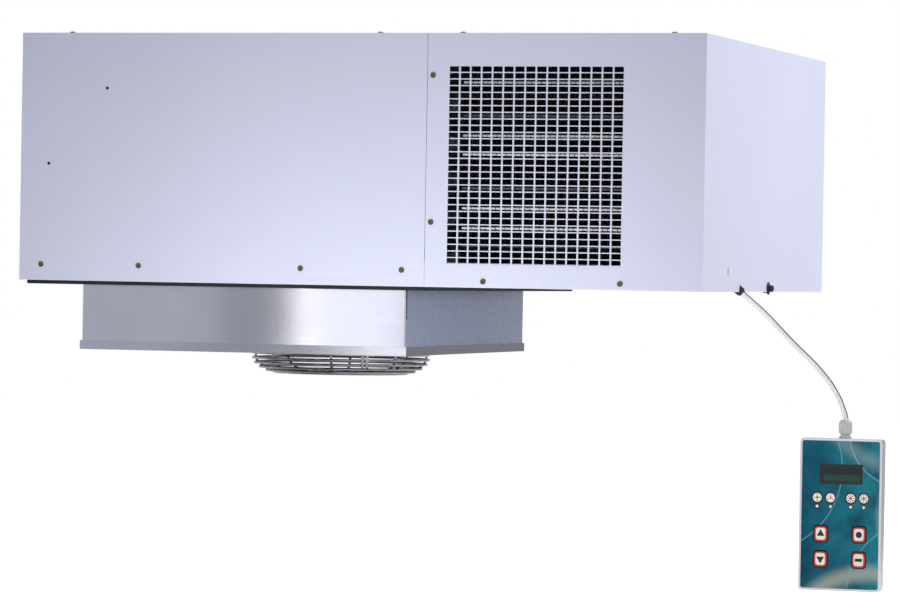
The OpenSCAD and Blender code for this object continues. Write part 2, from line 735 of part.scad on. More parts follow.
module evaporator_motor() color("#2f3236") translate([room_fan_x, 0, room_motor_z])
  motor(room_motor_r, room_motor_h, bearing_l);

// Bar across the box over the motor, with bent ends against its walls
module evaporator_motor_bracket() color("#aab0b7") {
  z = room_motor_z + room_motor_h;
  block([room_fan_x - bracket_w / 2, -inner_y, z], [bracket_w, 2 * inner_y, bracket_t]);
  for (y = [-inner_y, inner_y - bracket_t])
    block([room_fan_x - bracket_w / 2, y, z], [bracket_w, bracket_t, bracket_w]);
}

// Condenser coil behind the grille
coil_setback = 10;
coil_lift = 12;
hot_x = bulkhead_x + sheet + end_run + tube_pitch / 2 + coil_tube_r + clear;
hot_y = front_y + sheet + base_t + coil_setback;
hot_z = floor_z + coil_lift;
hot_coil_h = casing_h - hot_coil_top_gap;
hot_rows = odd_rows(hot_coil_h);
hot_coil_w = condenser_w - hot_coil_side_gap;
hot_fan_r = min(hot_coil_w, hot_coil_h) / 2 - hot_fan_margin;
hot_fin_count = 44;
hot_back = hot_y + hot_coil_t;
hot_mid_x = hot_x + hot_coil_w / 2;
hot_mid_z = hot_z + hot_coil_h / 2;

module condenser_fins() color("#2c2e30")
  fin_pack(hot_x, hot_y, hot_z, hot_coil_w, hot_coil_t, hot_coil_h, hot_rows, hot_fin_count);

module condenser_tubes() color("#b9a08a")
  tube_run(hot_x, hot_y, hot_z, hot_coil_w, hot_coil_t, hot_coil_h, hot_rows);

module condenser_end_plates() color("#8f949a")
  for (x = [hot_x - end_plate_t, hot_x + hot_coil_w])
    coil_plate(x, hot_y, floor_z, end_plate_t, hot_coil_t, hot_z - floor_z + hot_coil_h, hot_rows,
      hot_y, hot_coil_t, hot_z, hot_coil_h);

// Duct from the coil to the fan, with a collar round the blades
shroud_d = 38;
hot_collar_d = 30;
module condenser_shroud() color("#55595e") difference() {
  union() {
    difference() {
      block([hot_x, hot_back, hot_z], [hot_coil_w, shroud_d, hot_coil_h]);
      block([hot_x + sheet, hot_back - overrun, hot_z + sheet],
        [hot_coil_w - 2 * sheet, shroud_d - sheet + overrun, hot_coil_h - 2 * sheet]);
    }
    bar_y([hot_mid_x, hot_back + shroud_d - sheet, hot_mid_z], hot_fan_r + tip_gap + sheet, hot_collar_d);
    block([hot_x, hot_back + shroud_d - return_w, floor_z], [sheet, return_w, hot_z - floor_z + sheet]);
    block([hot_x + hot_coil_w - sheet, hot_back + shroud_d - return_w, floor_z],
      [sheet, return_w, hot_z - floor_z + sheet]);
  }
  bar_y([hot_mid_x, hot_back + shroud_d - sheet - overrun, hot_mid_z], hot_fan_r + tip_gap,
    hot_collar_d + 2 * overrun);
}

hot_hub_r = 38;
hot_hub_h = 34;
hot_fan_y = hot_back + shroud_d + hot_collar_d / 2;
hot_motor_y = hot_fan_y + hot_hub_h / 2 + 1.75 * hub_gap;
hot_motor_r = 46;
hot_motor_h = 68;

module condenser_fan() color("#33373b") translate([hot_mid_x, hot_fan_y, hot_mid_z])
  rotate([-90, 0, 0]) fan(hot_fan_r, hot_hub_r, hot_hub_h, hot_motor_y + bearing_l - overrun - hot_fan_y);

module condenser_motor() color("#24272a") translate([hot_mid_x, hot_motor_y, hot_mid_z])
  rotate([-90, 0, 0]) motor(hot_motor_r, hot_motor_h, bearing_l);

// Upright behind the motor on a foot that stands on the base pan
module condenser_motor_bracket() color("#8c9197") {
  y = hot_motor_y + hot_motor_h;
  block([hot_mid_x - bracket_w, y, floor_z], [2 * bracket_w, bracket_t, hot_mid_z + bracket_w - floor_z]);
  block([hot_mid_x - bracket_w, y, floor_z], [2 * bracket_w, bracket_w, bracket_t]);
}

// Compressor: a welded can on a plate, which stands on four rubber feet
compressor_back = 30;
compressor_x = hot_mid_x;
compressor_y = hot_motor_y + hot_motor_h + bracket_w + compressor_r + compressor_back;
feet_h = 20;
foot_r = 13;
foot_pitch = 150;
plate_t = 3;
can_z = floor_z + feet_h + plate_t;
module at_feet() {
  for (x = [-1, 1], y = [-1, 1])
    translate([compressor_x + x * foot_pitch / 2, compressor_y + y * foot_pitch / 2, floor_z]) children();
}

module compressor() color("#1f2123") difference() {
  union() {
    translate([compressor_x, compressor_y, can_z]) rotate_extrude() polygon(concat(
      [[0, 0], [compressor_r * 0.7, 0]],
      [for (a = [0 : 15 : 90]) [compressor_r * (0.8 + 0.2 * sin(a)), compressor_r * 0.25 * (1 - cos(a))]],
      [[compressor_r, compressor_h * 0.5], [compressor_r * 1.05, compressor_h * 0.5],
        [compressor_r * 1.05, compressor_h * 0.53], [compressor_r, compressor_h * 0.53]],
      [for (a = [0 : 10 : 90]) [compressor_r * cos(a), compressor_h - compressor_r * 0.45 * (1 - sin(a))]]));
    block([compressor_x - foot_pitch / 2 - foot_r, compressor_y - foot_pitch / 2 - foot_r,
      floor_z + feet_h], [foot_pitch + 2 * foot_r, foot_pitch + 2 * foot_r, plate_t]);
  }
  at_feet() bar_z([0, 0, feet_h - overrun], foot_r / 2 + fixed_gap, plate_t + 2 * overrun);
}

module compressor_feet() color("#151515") at_feet() rotate_extrude() polygon([[0, 0], [foot_r, 0],
  [foot_r * 0.8, feet_h * 0.3], [foot_r * 0.8, feet_h * 0.7], [foot_r, feet_h], [foot_r / 2, feet_h],
  [foot_r / 2, feet_h + plate_t], [foot_r * 0.8, feet_h + plate_t], [foot_r * 0.7, feet_h + 3 * plate_t],
  [0, feet_h + 3 * plate_t]]);

terminal_w = 46;
module compressor_terminal_cover() color("#2e3033") difference() {
  block([compressor_x + compressor_r - plate_t, compressor_y - terminal_w / 2, can_z + compressor_h * 0.18],
    [terminal_w, terminal_w, compressor_h * 0.3]);
  bar_z([compressor_x, compressor_y, can_z], compressor_r + fixed_gap, compressor_h);
}

// Refrigerant pipes. The suction pipe runs from the evaporator's top to the compressor
hot_top_z = row_z(hot_z, hot_coil_h, hot_rows, hot_rows - 1);
cold_top_z = row_z(cold_z, cold_coil_h, cold_rows, cold_rows - 1);
cold_end_y = cold_coil_l / 2 + end_run;
bend = 10;
suction_x = drain_x + 2 * bend;
suction_z = can_z + compressor_h * 0.7;
suction_path = [[col_y(cold_x, cold_coil_t, 1), cold_end_y, cold_top_z],
  [col_y(cold_x, cold_coil_t, 1), cold_end_y + bend, cold_top_z], [suction_x, cold_end_y + bend, cold_top_z],
  [suction_x, compressor_y, cold_top_z], [suction_x, compressor_y, suction_z],
  [compressor_x - compressor_r, compressor_y, suction_z]];
module suction_pipe() color("#1b1b1c") pipe(suction_path, suction_r);

// The discharge pipe runs from the compressor's top to the condenser's rear column
over_z = hot_z + hot_coil_h + 1.6 * bend;
discharge_path = [[hot_x + hot_coil_w + end_run, col_y(hot_y, hot_coil_t, 1), hot_top_z],
  [hot_x + hot_coil_w + end_run + bend, col_y(hot_y, hot_coil_t, 1), hot_top_z],
  [hot_x + hot_coil_w + end_run + bend, col_y(hot_y, hot_coil_t, 1), over_z],
  [hot_x + hot_coil_w + end_run + bend, compressor_y, over_z], [compressor_x, compressor_y, over_z],
  [compressor_x, compressor_y, can_z + compressor_h]];
module discharge_pipe() color("#b46a3f") pipe(discharge_path, liquid_r);

// The filter drier hangs on the pipe from the condenser's front column
drier_r = 11;
drier_l = 90;
drier_x = right_x - sheet - base_t - drier_r - clear;
drier_y = hot_back + shroud_d + hot_collar_d;
drier_z = hot_mid_z;
drier_path = [[hot_x + hot_coil_w + end_run, col_y(hot_y, hot_coil_t, 0), hot_top_z],
  [drier_x, col_y(hot_y, hot_coil_t, 0), hot_top_z], [drier_x, drier_y, hot_top_z],
  [drier_x, drier_y, drier_z + drier_l * 0.9]];
module filter_drier() color("#c08552") {
  pipe(drier_path, liquid_r);
  translate([drier_x, drier_y, drier_z]) rotate_extrude() polygon([[0, 0], [liquid_r, 0],
    [drier_r, drier_l * 0.12], [drier_r, drier_l * 0.88], [liquid_r, drier_l], [0, drier_l]]);
}

// Capillary tube from the drier to the evaporator's inlet
capillary_r = 1.6;
capillary_z = cold_top_z + 1.4 * bend;
capillary_y = cold_end_y + 1.2 * bend;
capillary_x = bulkhead_x + sheet + bend;
capillary_path = [[drier_x, drier_y, drier_z], [drier_x, drier_y, drier_z - bend],
  [drier_x, drier_y + 2 * bend, drier_z - bend], [drier_x, drier_y + 2 * bend, over_z - bend],
  [capillary_x, drier_y + 2 * bend, over_z - bend], [capillary_x, capillary_y, over_z - bend],
  [capillary_x, capillary_y, capillary_z], [col_y(cold_x, cold_coil_t, 0), capillary_y, capillary_z],
  [col_y(cold_x, cold_coil_t, 0), capillary_y, cold_top_z],
  [col_y(cold_x, cold_coil_t, 0), cold_end_y, cold_top_z]];
module capillary_tube() color("#c58b5a") pipe(capillary_path, capillary_r);

// The ways that both pipes take through the bulkhead and the insulated box
module pipe_holes() {
  pipe([suction_path[1], suction_path[2], suction_path[3]], suction_r + fixed_gap);
  pipe([capillary_path[5], capillary_path[6], capillary_path[7], capillary_path[8]],
    capillary_r + fixed_gap);
}

// Electrical box at the rear, open to the right, with its cover and the control board
electric_w = 92;
electric_d = 150;
electric_h = 230;
electric_x = right_x - base_t - 2 * sheet - electric_w - clear;
electric_y = rear_y - sheet - base_t - electric_d - 2 * clear;
board_t = 1.6;
board_gap = 8;
module electrical_box() color("#9ba1a8") difference() {
  block([electric_x, electric_y, floor_z], [electric_w, electric_d, electric_h]);
  block([electric_x + sheet, electric_y + sheet, floor_z + sheet],
    [electric_w, electric_d - 2 * sheet, electric_h - 2 * sheet]);
  bar_y([electric_x + electric_w / 2, electric_y - overrun, floor_z + electric_h * 0.15], notch_r,
    sheet + 2 * overrun);
}

module electrical_box_cover() color("#b7bcc3") {
  block([electric_x + electric_w, electric_y, floor_z], [sheet, electric_d, electric_h]);
  for (z = [floor_z + sheet + fixed_gap, floor_z + electric_h - 2 * sheet - fixed_gap])
    block([electric_x + electric_w - return_w, electric_y + sheet + fixed_gap, z],
      [return_w, electric_d - 2 * (sheet + fixed_gap), sheet]);
}

// Parts on the board, as shares of its length and height: place, size and height above it
board_part_shares = [[0.1, 0.08, 0.3, 0.2, 0.35], [0.5, 0.08, 0.4, 0.14, 0.2], [0.1, 0.4, 0.22, 0.22, 0.28],
  [0.42, 0.4, 0.2, 0.12, 0.2], [0.7, 0.4, 0.2, 0.12, 0.2], [0.42, 0.6, 0.45, 0.2, 0.1],
  [0.1, 0.75, 0.3, 0.16, 0.45]];
module control_board() color("#2d6b3f") {
  x = electric_x + sheet + board_gap;
  y = electric_y + 2 * board_gap;
  z = floor_z + 2 * board_gap;
  l = electric_d - 4 * board_gap;
  h = electric_h - 4 * board_gap;
  block([x, y, z], [board_t, l, h]);
  for (s = board_part_shares)
    block([x + board_t / 2, y + s[0] * l, z + s[1] * h], [s[4] * electric_w, s[2] * l, s[3] * h]);
  for (ys = [0.05, 0.95], zs = [0.04, 0.96])
    bar_x([electric_x + sheet, y + ys * l, z + zs * h], screw_r * 1.5, board_gap);
}

// Remote: its place hangs from the end of the cable
gland_offset = 3;
edge_r = 1;
remote_x = cable_end[0] - remote_w / 2 - gland_offset;
remote_y = cable_end[1] - remote_d / 2;
remote_top = cable_end[2] - gland_h;
remote_z = remote_top - remote_h;
split_y = remote_y + remote_d * 0.55;
overlay_t = 0.6;
overlay_sink = 0.4;
plate_y = remote_y + overlay_sink + overlay_t;
plate_back = plate_y + shell_t;

// Places on the remote's face, as shares of its width from its left edge and of its height from its top
window_share = [0.506, 0.234];
led_shares = [[0.218, 0.39], [0.38, 0.39], [0.626, 0.39], [0.785, 0.39]];
key_shares = [[0.268, 0.627], [0.734, 0.627], [0.268, 0.793], [0.734, 0.793]];
function face_x(s) = remote_x + s[0] * remote_w;
function face_z(s) = remote_top - s[1] * remote_h;

// A rounded rectangle standing up in X and Z, centred on x and z, from y towards the rear
module upright(x, z, w, h, r, y, d) {
  translate([x, y, z]) rotate([-90, 0, 0]) linear_extrude(d) union() {
    square([w - 2 * r, h], center = true);
    square([w, h - 2 * r], center = true);
    for (i = [-1, 1], j = [-1, 1]) translate([i * (w / 2 - r), j * (h / 2 - r)]) circle(r = r);
  }
}
module remote_slab(inset, y, d) {
  upright(remote_x + remote_w / 2, remote_z + remote_h / 2, remote_w - 2 * inset, remote_h - 2 * inset,
    corner_r - inset * 0.6, y, d);
}

// Openings of the face: the window, the indicators and the keys, each grown by a gap
module face_cuts(gap, y, d) {
  upright(face_x(window_share), face_z(window_share), window_w + 2 * gap, window_h + 2 * gap,
    edge_r + gap, y, d);
  for (s = led_shares) bar_y([face_x(s), y, face_z(s)], led_d * 0.36 + gap, d);
  for (s = key_shares) upright(face_x(s), face_z(s), key_w + 2 * gap, key_h + 2 * gap,
    key_w * 0.25 + gap, y, d);
}

remote_screw_inset = 9;
module at_remote_screws() {
  for (x = [remote_x + remote_screw_inset, remote_x + remote_w - remote_screw_inset],
    z = [remote_z + remote_screw_inset, remote_top - remote_screw_inset]) translate([x, 0, z]) children();
}

gland_thread_r = gland_d * 0.36;
module gland_hole() {
  bar_z([cable_end[0], cable_end[1], remote_top - 2 * shell_t],
    gland_thread_r + fixed_gap, 3 * shell_t);
}

module remote_front_shell() color("#dadde3") difference() {
  union() {
    difference() {
      remote_slab(0, remote_y, split_y - remote_y);
      remote_slab(shell_t, plate_back, remote_d);
      remote_slab(frame_w, remote_y - overrun, overlay_sink + overlay_t + overrun);
      face_cuts(running_gap, plate_y - overrun, shell_t + 2 * overrun);
    }
    at_remote_screws() bar_y([0, plate_back - overrun, 0], screw_r * 2, split_y - plate_back + overrun);
  }
  at_remote_screws() bar_y([0, plate_back + overrun, 0], screw_r + fixed_gap, remote_d);
  gland_hole();
}

module remote_back_shell() color("#cfd3da") difference() {
  union() {
    difference() {
      remote_slab(0, split_y, remote_y + remote_d - split_y);
      remote_slab(shell_t, split_y - overrun, remote_y + remote_d - shell_t - split_y + overrun);
    }
    at_remote_screws() bar_y([0, split_y, 0], screw_r * 2, remote_y + remote_d - split_y - overrun);
  }
  at_remote_screws() {
    bar_y([0, split_y - overrun, 0], screw_r + fixed_gap, remote_d);
    bar_y([0, remote_y + remote_d - screw_head_h, 0], screw_head_d / 2 + fixed_gap, remote_d);
  }
  gland_hole();
}

module remote_screws() color("#777a80") at_remote_screws()
  translate([0, remote_y + remote_d - screw_head_h, 0]) rotate([-90, 0, 0]) screw();

module remote_overlay() color("#1f7f96") difference() {
  remote_slab(frame_w + fixed_gap, plate_y - overlay_t, overlay_t);
  upright(face_x(window_share), face_z(window_share), window_w - shell_t, window_h - shell_t, edge_r,
    plate_y - overlay_t - overrun, overlay_t + 2 * overrun);
  for (s = led_shares) bar_y([face_x(s), plate_y - overlay_t - overrun, face_z(s)],
    led_d * 0.14, overlay_t + 2 * overrun);
  for (s = key_shares) upright(face_x(s), face_z(s), key_w + 2 * running_gap, key_h + 2 * running_gap,
    key_w * 0.25 + running_gap, plate_y - overlay_t - overrun, overlay_t + 2 * overrun);
}

module remote_window() color("#10281f") upright(face_x(window_share), face_z(window_share),
  window_w, window_h, edge_r, plate_y + fixed_gap / 2, shell_t + board_lift - fixed_gap / 2);

// Key: a cap that shows through the overlay on a wider flange behind the plate
module key(s) color("#f2efe6") {
  upright(face_x(s), face_z(s), key_w, key_h, key_w * 0.25, remote_y, plate_back + running_gap - remote_y);
  upright(face_x(s), face_z(s), key_w + 4 * running_gap, key_h + 4 * running_gap, key_w * 0.25,
    plate_back + running_gap * 0.75, shell_t / 2);
}
module remote_key_1() key(key_shares[0]);
module remote_key_2() key(key_shares[1]);
module remote_key_3() key(key_shares[2]);
module remote_key_4() key(key_shares[3]);

// Board behind the plate with a switch under each key and a lamp behind each indicator
board_lift = 4.2;
board_inset = 2 * remote_screw_inset;
switch_gap = running_gap * 0.75;
module remote_board() color("#2f6d44") {
  y = plate_back + board_lift;
  key_back = plate_back + running_gap * 0.75 + shell_t / 2 + key_travel + switch_gap;
  upright(remote_x + remote_w / 2, remote_z + remote_h / 2, remote_w - 2 * shell_t - clear,
    remote_h - 2 * board_inset, edge_r, y, board_t);
  for (s = key_shares) bar_y([face_x(s), key_back, face_z(s)], screw_r, y + board_t / 2 - key_back);
  for (s = led_shares) bar_y([face_x(s), plate_y + fixed_gap, face_z(s)], screw_r * 1.2,
    y + board_t / 2 - plate_y - fixed_gap);
  upright(remote_x + remote_w / 2, remote_z + remote_h / 2, remote_w * 0.3, remote_h * 0.1, edge_r,
    y + board_t / 2, remote_y + remote_d - shell_t - y - board_t / 2 - fixed_gap);
}

// Cable gland on the remote's top: threaded neck, body and domed nut
module remote_gland() color("#e4e7ec")
  translate([cable_end[0], cable_end[1], remote_top]) rotate_extrude() polygon([
    [0, -2 * shell_t], [gland_thread_r, -2 * shell_t], [gland_thread_r, 0], [gland_d * 0.42, 0],
    [gland_d * 0.42, gland_h * 0.12], [gland_d * 0.36, gland_h * 0.16], [gland_d * 0.36, gland_h * 0.24],
    [gland_d / 2, gland_h * 0.28], [gland_d / 2, gland_h * 0.82], [gland_d * 0.42, gland_h * 0.94],
    [cable_d / 2 + fixed_gap, gland_h], [0, gland_h]]);

// The cable: rings square to the route's direction at each of its points, joined by triangles
function way(p, i) = i == 0 ? unit(p[1] - p[0])
  : i == len(p) - 1 ? unit(p[i] - p[i - 1]) : unit(unit(p[i] - p[i - 1]) + unit(p[i + 1] - p[i]));
function ring(centre, w, r, n) = let (side = [0, 1, 0], up = cross(w, side))
  [for (k = [0 : n - 1]) centre + r * cos(k * 360 / n) * side + r * sin(k * 360 / n) * up];
module swept_tube(route, r, n) {
  m = len(route);
  points = [for (i = [0 : m - 1]) each ring(route[i], way(route, i), r, n)];
  walls = [for (i = [0 : m - 2], k = [0 : n - 1]) each
    [[i * n + k, (i + 1) * n + k, i * n + (k + 1) % n],
     [i * n + (k + 1) % n, (i + 1) * n + k, (i + 1) * n + (k + 1) % n]]];
  start = [for (k = [1 : n - 2]) [0, k, k + 1]];
  end = [for (k = [1 : n - 2]) [(m - 1) * n, (m - 1) * n + k + 1, (m - 1) * n + k]];
  polyhedron(points, concat(walls, start, end));
}
module remote_cable() color("#d7dade") swept_tube(cable_route, cable_d / 2, cable_sides);

evaporator_front_panel();
evaporator_side_panel();
evaporator_rear_panel();
evaporator_lid();
condenser_front_panel();
condenser_side_panel();
condenser_rear_panel();
condenser_lid();
base_pan();
roof_gasket();
bulkhead();
panel_screws();
side_hole_cap();
cable_grommet();
spare_cable_entry();
plug_skin();
plug_insulation();
plug_tray();
outlet_louvre();
insulated_box();
evaporator_fins();
evaporator_tubes();
evaporator_end_plates();
drip_tray();
drain_pipe();
defrost_heater();
evaporator_fan();
evaporator_motor();
evaporator_motor_bracket();
fan_guard();
fan_guard_screws();
condenser_fins();
condenser_tubes();
condenser_end_plates();
condenser_shroud();
condenser_fan();
condenser_motor();
condenser_motor_bracket();
compressor();
compressor_feet();
compressor_terminal_cover();
filter_drier();
capillary_tube();
suction_pipe();
discharge_pipe();
electrical_box();
electrical_box_cover();
control_board();
remote_front_shell();
remote_back_shell();
remote_overlay();
remote_window();
remote_board();
remote_key_1();
remote_key_2();
remote_key_3();
remote_key_4();
remote_screws();
remote_gland();
remote_cable();
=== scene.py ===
# %% [markdown]
# # A ceiling refrigeration unit with a hand remote
#
# The unit stands on a cold room's roof. Its left half cools the room through an insulated plug, and its
# right half gives the heat away through a punched grille. A thin cable carries a small remote control.
# The CAD model already holds every working part in its place. This notebook loads that model and then
# gives it what CAD leaves out: rounded sheet edges, welded wire, moulded plastic, print and paint.
# %% Load the frame
import math

import bmesh
import bpy
import numpy as np
from mathutils import Matrix, Vector


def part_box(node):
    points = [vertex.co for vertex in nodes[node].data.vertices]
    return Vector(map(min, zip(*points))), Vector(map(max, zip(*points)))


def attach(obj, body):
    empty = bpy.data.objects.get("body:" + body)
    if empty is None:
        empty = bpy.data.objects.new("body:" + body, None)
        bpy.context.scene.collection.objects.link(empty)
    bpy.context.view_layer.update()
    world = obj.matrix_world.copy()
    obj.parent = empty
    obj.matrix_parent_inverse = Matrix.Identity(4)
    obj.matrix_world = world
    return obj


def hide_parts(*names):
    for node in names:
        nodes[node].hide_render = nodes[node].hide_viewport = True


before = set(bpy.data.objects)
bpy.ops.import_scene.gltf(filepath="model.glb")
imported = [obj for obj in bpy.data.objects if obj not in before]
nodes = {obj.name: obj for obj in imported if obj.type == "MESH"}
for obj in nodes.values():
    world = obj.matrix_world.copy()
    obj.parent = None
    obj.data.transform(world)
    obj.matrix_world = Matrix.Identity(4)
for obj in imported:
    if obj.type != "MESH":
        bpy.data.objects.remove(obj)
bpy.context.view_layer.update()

# %% [markdown]
# ## The camera
#
# The photograph was taken with a long lens from a few metres away, a little to the right of the front
# and almost level. Its lens, place and small tilt were found by matching the casing's straight edges.
# The camera's three directions are written as the columns of a matrix, which is the plainest way to
# keep the tilt that the photograph has.
# %% Camera
camera_place = Vector((1.9814, -5.8194, 0.0241))
camera_right = Vector((0.95628, 0.29194, 0.01718)).normalized()
camera_up = Vector((-0.01863, 0.00216, 0.99982)).normalized()
camera_back = camera_right.cross(camera_up).normalized()

lens = bpy.data.cameras.new("camera")
lens.lens = 174.89
lens.sensor_width = 36.0
lens.clip_end = 60.0
camera = bpy.data.objects.new("camera", lens)
bpy.context.scene.collection.objects.link(camera)
turn = Matrix((camera_right, camera_up, camera_back)).transposed()
camera.matrix_world = Matrix.Translation(camera_place) @ turn.to_4x4()
bpy.context.scene.camera = camera
print("camera at", tuple(camera_place), "lens", lens.lens, "mm")

# %% [markdown]
# ## The cable's line
#
# The remote hangs on a 7 mm cable that leaves a rubber sleeve at the foot of the side panel, runs down
# and outwards, and turns into the gland on the remote's top. The CAD model gives its route as points.
# A curve through them has to be smooth, so each stretch is a cubic that passes through its two ends and
# leaves them along the line between their neighbours.
# %% Cable centreline
cable_route = np.array([
    [658, -151, 3], [670, -151, -7], [682, -151, -17], [694, -151, -28], [706, -151, -40],
    [718, -151, -52], [729, -151, -63], [740, -151, -73], [751, -151, -83], [761, -151, -93],
    [770, -151, -103], [779, -151, -114], [786, -151, -125], [792, -151, -136], [796, -151, -146],
    [799, -151, -154], [800, -151, -158], [800, -151, -161]]) / 1000.0
cable_diameter = 0.007


def smooth_line(points, per_stretch):
    """A cubic through every point. Between b and c, with neighbours a and d and t from 0 to 1, it is
    half of 2b + (c - a) t + (2a - 5b + 4c - d) t squared + (3b - a - 3c + d) t cubed."""
    line = np.vstack([2 * points[0] - points[1], points, 2 * points[-1] - points[-2]])
    a, b, c, d = (line[k:len(line) - 3 + k, None, :] for k in range(4))
    t = np.linspace(0.0, 1.0, per_stretch, endpoint=False)[None, :, None]
    curve = 0.5 * (2 * b + (c - a) * t + (2 * a - 5 * b + 4 * c - d) * t**2
                   + (3 * b - a - 3 * c + d) * t**3)
    return np.vstack([curve.reshape(-1, 3), points[-1:]])


cable_line = smooth_line(cable_route, 6)

# %% [markdown]
# ## Colour and shader helpers
#
# Every finish below is a Principled shader whose colour, roughness and bump come from small patterns.
# The helpers keep that short. One turns an ordinary screen colour into the linear values that a shader
# works in, one starts a material with its shader and the object's own coordinates, and the others add
# a node with its values and links in one line.
# %% Shader helpers
def screen(red, green, blue):
    """A colour given as on a screen, 0 to 255, as linear values: each share is raised to the power
    2.4 after (share + 0.055) / 1.055."""
    share = (np.array([red, green, blue]) / 255.0 + 0.055) / 1.055
    return (*np.power(share, 2.4).tolist(), 1.0)


def shade_of(colour, factor):
    """A linear colour times a factor, each value kept at one or less."""
    return (*(min(value * factor, 1.0) for value in colour[:3]), 1.0)


def feed(tree, socket, value):
    """Gives an input a fixed value, or a link where the value is another node's output."""
    if isinstance(value, bpy.types.NodeSocket):
        tree.links.new(value, socket)
    else:
        socket.default_value = value


def add_node(tree, kind, place=(0, 0), **values):
    """A shader node of a kind. Values go to the inputs of that name, or are the node's settings."""
    node = tree.nodes.new(kind)
    node.location = place
    for name, value in values.items():
        socket = node.inputs.get(name.replace("_", " "))
        if socket is None:
            setattr(node, name, value)
        else:
            feed(tree, socket, value)
    return node


def calculate(tree, operation, *values, place=(0, 0), kind="ShaderNodeMath", out=0):
    """A Math node, or a Vector Math node, that takes the values in order. Returns one output."""
    node = add_node(tree, kind, place, operation=operation)
    for socket, value in zip(node.inputs, values):
        feed(tree, socket, value)
    return node.outputs[out]


def start_material(name, **settings):
    """A new material. Returns it with its node tree, its Principled shader and Object coordinates."""
    material = bpy.data.materials.new(name)
    material.use_nodes = True
    tree = material.node_tree
    shader = tree.nodes["Principled BSDF"]
    for socket, value in settings.items():
        shader.inputs[socket.replace("_", " ")].default_value = value
    where = add_node(tree, "ShaderNodeTexCoord", (-1200, 0)).outputs["Object"]
    return material, tree, shader, where


def blend_colours(tree, mask, first, second):
    """A Mix node between two colours by a mask. Each may be a fixed colour or another socket. A Mix
    node's colours are its inputs 6 and 7 and its output 2."""
    mix = add_node(tree, "ShaderNodeMix", (-300, 200), data_type="RGBA", Factor=mask)
    feed(tree, mix.inputs[6], first)
    feed(tree, mix.inputs[7], second)
    return mix.outputs[2]


def spread(tree, value, low, high, place=(-300, -100), **settings):
    """A Map Range node that carries 0 to 1, or other named ends, onto low to high."""
    ramp = add_node(tree, "ShaderNodeMapRange", place, Value=value, To_Min=low, To_Max=high, **settings)
    return ramp.outputs["Result"]


def raise_surface(tree, shader, height, distance):
    """A Bump node from a height pattern into the shader's Normal."""
    bump = add_node(tree, "ShaderNodeBump", (-300, -400), Strength=1.0, Distance=distance,
                    Height=height)
    tree.links.new(bump.outputs["Normal"], shader.inputs["Normal"])


def dress(tree, shader, colour, mask, roughness, height, distance):
    """Links a finish: its colour, a mask carried onto its two ends of roughness, and its bump."""
    tree.links.new(colour, shader.inputs["Base Color"])
    tree.links.new(spread(tree, mask, *roughness), shader.inputs["Roughness"])
    raise_surface(tree, shader, height, distance)


print("helpers ready; screen grey 128 is", round(screen(128, 128, 128)[0], 4))

# %% [markdown]
# ## Shared surface effects
#
# Three effects come back in many finishes, so each is a node group with named inputs and outputs, and
# each material places it with its own values. *Grain* is the fine unevenness of paint and moulded
# plastic, with a broad cloudiness. *Brushing* is the long scratches of ground steel. *Settled dust* is
# a patchy mask that is stronger on faces that look up. A group gives out masks and heights only.
# %% Group: grain
def start_group(name, inputs, outputs):
    """A shader node group with value inputs (name, default), a Vector input and value outputs."""
    group = bpy.data.node_groups.new(name, "ShaderNodeTree")
    group.interface.new_socket("Vector", in_out="INPUT", socket_type="NodeSocketVector")
    for label, value in inputs:
        socket = group.interface.new_socket(label, in_out="INPUT", socket_type="NodeSocketFloat")
        socket.default_value = value
    for label in outputs:
        group.interface.new_socket(label, in_out="OUTPUT", socket_type="NodeSocketFloat")
    entry = add_node(group, "NodeGroupInput", (-900, 0))
    return group, entry, add_node(group, "NodeGroupOutput", (500, 0))


def group_labels(result):
    """The names of what a group gives out."""
    return [socket.name for socket in result.inputs if socket.name]


grain_group, given, result = start_group("grain", [("Fine Scale", 1500.0), ("Broad Scale", 6.0)],
                                         ["Height", "Cloud"])
for label, source, detail in (("Height", "Fine Scale", 2.0), ("Cloud", "Broad Scale", 4.0)):
    noise = add_node(grain_group, "ShaderNodeTexNoise", (-200, 0), Detail=detail,
                     Vector=given.outputs["Vector"], Scale=given.outputs[source])
    grain_group.links.new(noise.outputs["Fac"], result.inputs[label])
print("group", grain_group.name, "gives", group_labels(result))

# %% Group: brushing
# Noise is read in coordinates that are squeezed along the brushing direction, so its spots become
# streaks. The three scales say how fast the pattern changes along X, Y and Z.
brush_group, given, result = start_group(
    "brushing", [("Scale X", 12.0), ("Scale Y", 900.0), ("Scale Z", 900.0), ("Broad Scale", 9.0)],
    ["Streak", "Cloud"])
joined = add_node(brush_group, "ShaderNodeCombineXYZ", (-650, -200),
                  **{axis: given.outputs[f"Scale {axis}"] for axis in "XYZ"})
stretched = calculate(brush_group, "MULTIPLY", given.outputs["Vector"], joined.outputs["Vector"],
                      place=(-450, 0), kind="ShaderNodeVectorMath")
streaks = add_node(brush_group, "ShaderNodeTexNoise", (-200, 100), Scale=1.0, Detail=3.0, Roughness=0.65,
                   Vector=stretched)
clouds = add_node(brush_group, "ShaderNodeTexNoise", (-200, -200), Detail=5.0, Distortion=0.6,
                  Vector=given.outputs["Vector"], Scale=given.outputs["Broad Scale"])
for label, noise in (("Streak", streaks), ("Cloud", clouds)):
    brush_group.links.new(noise.outputs["Fac"], result.inputs[label])
print("group", brush_group.name, "gives", group_labels(result))

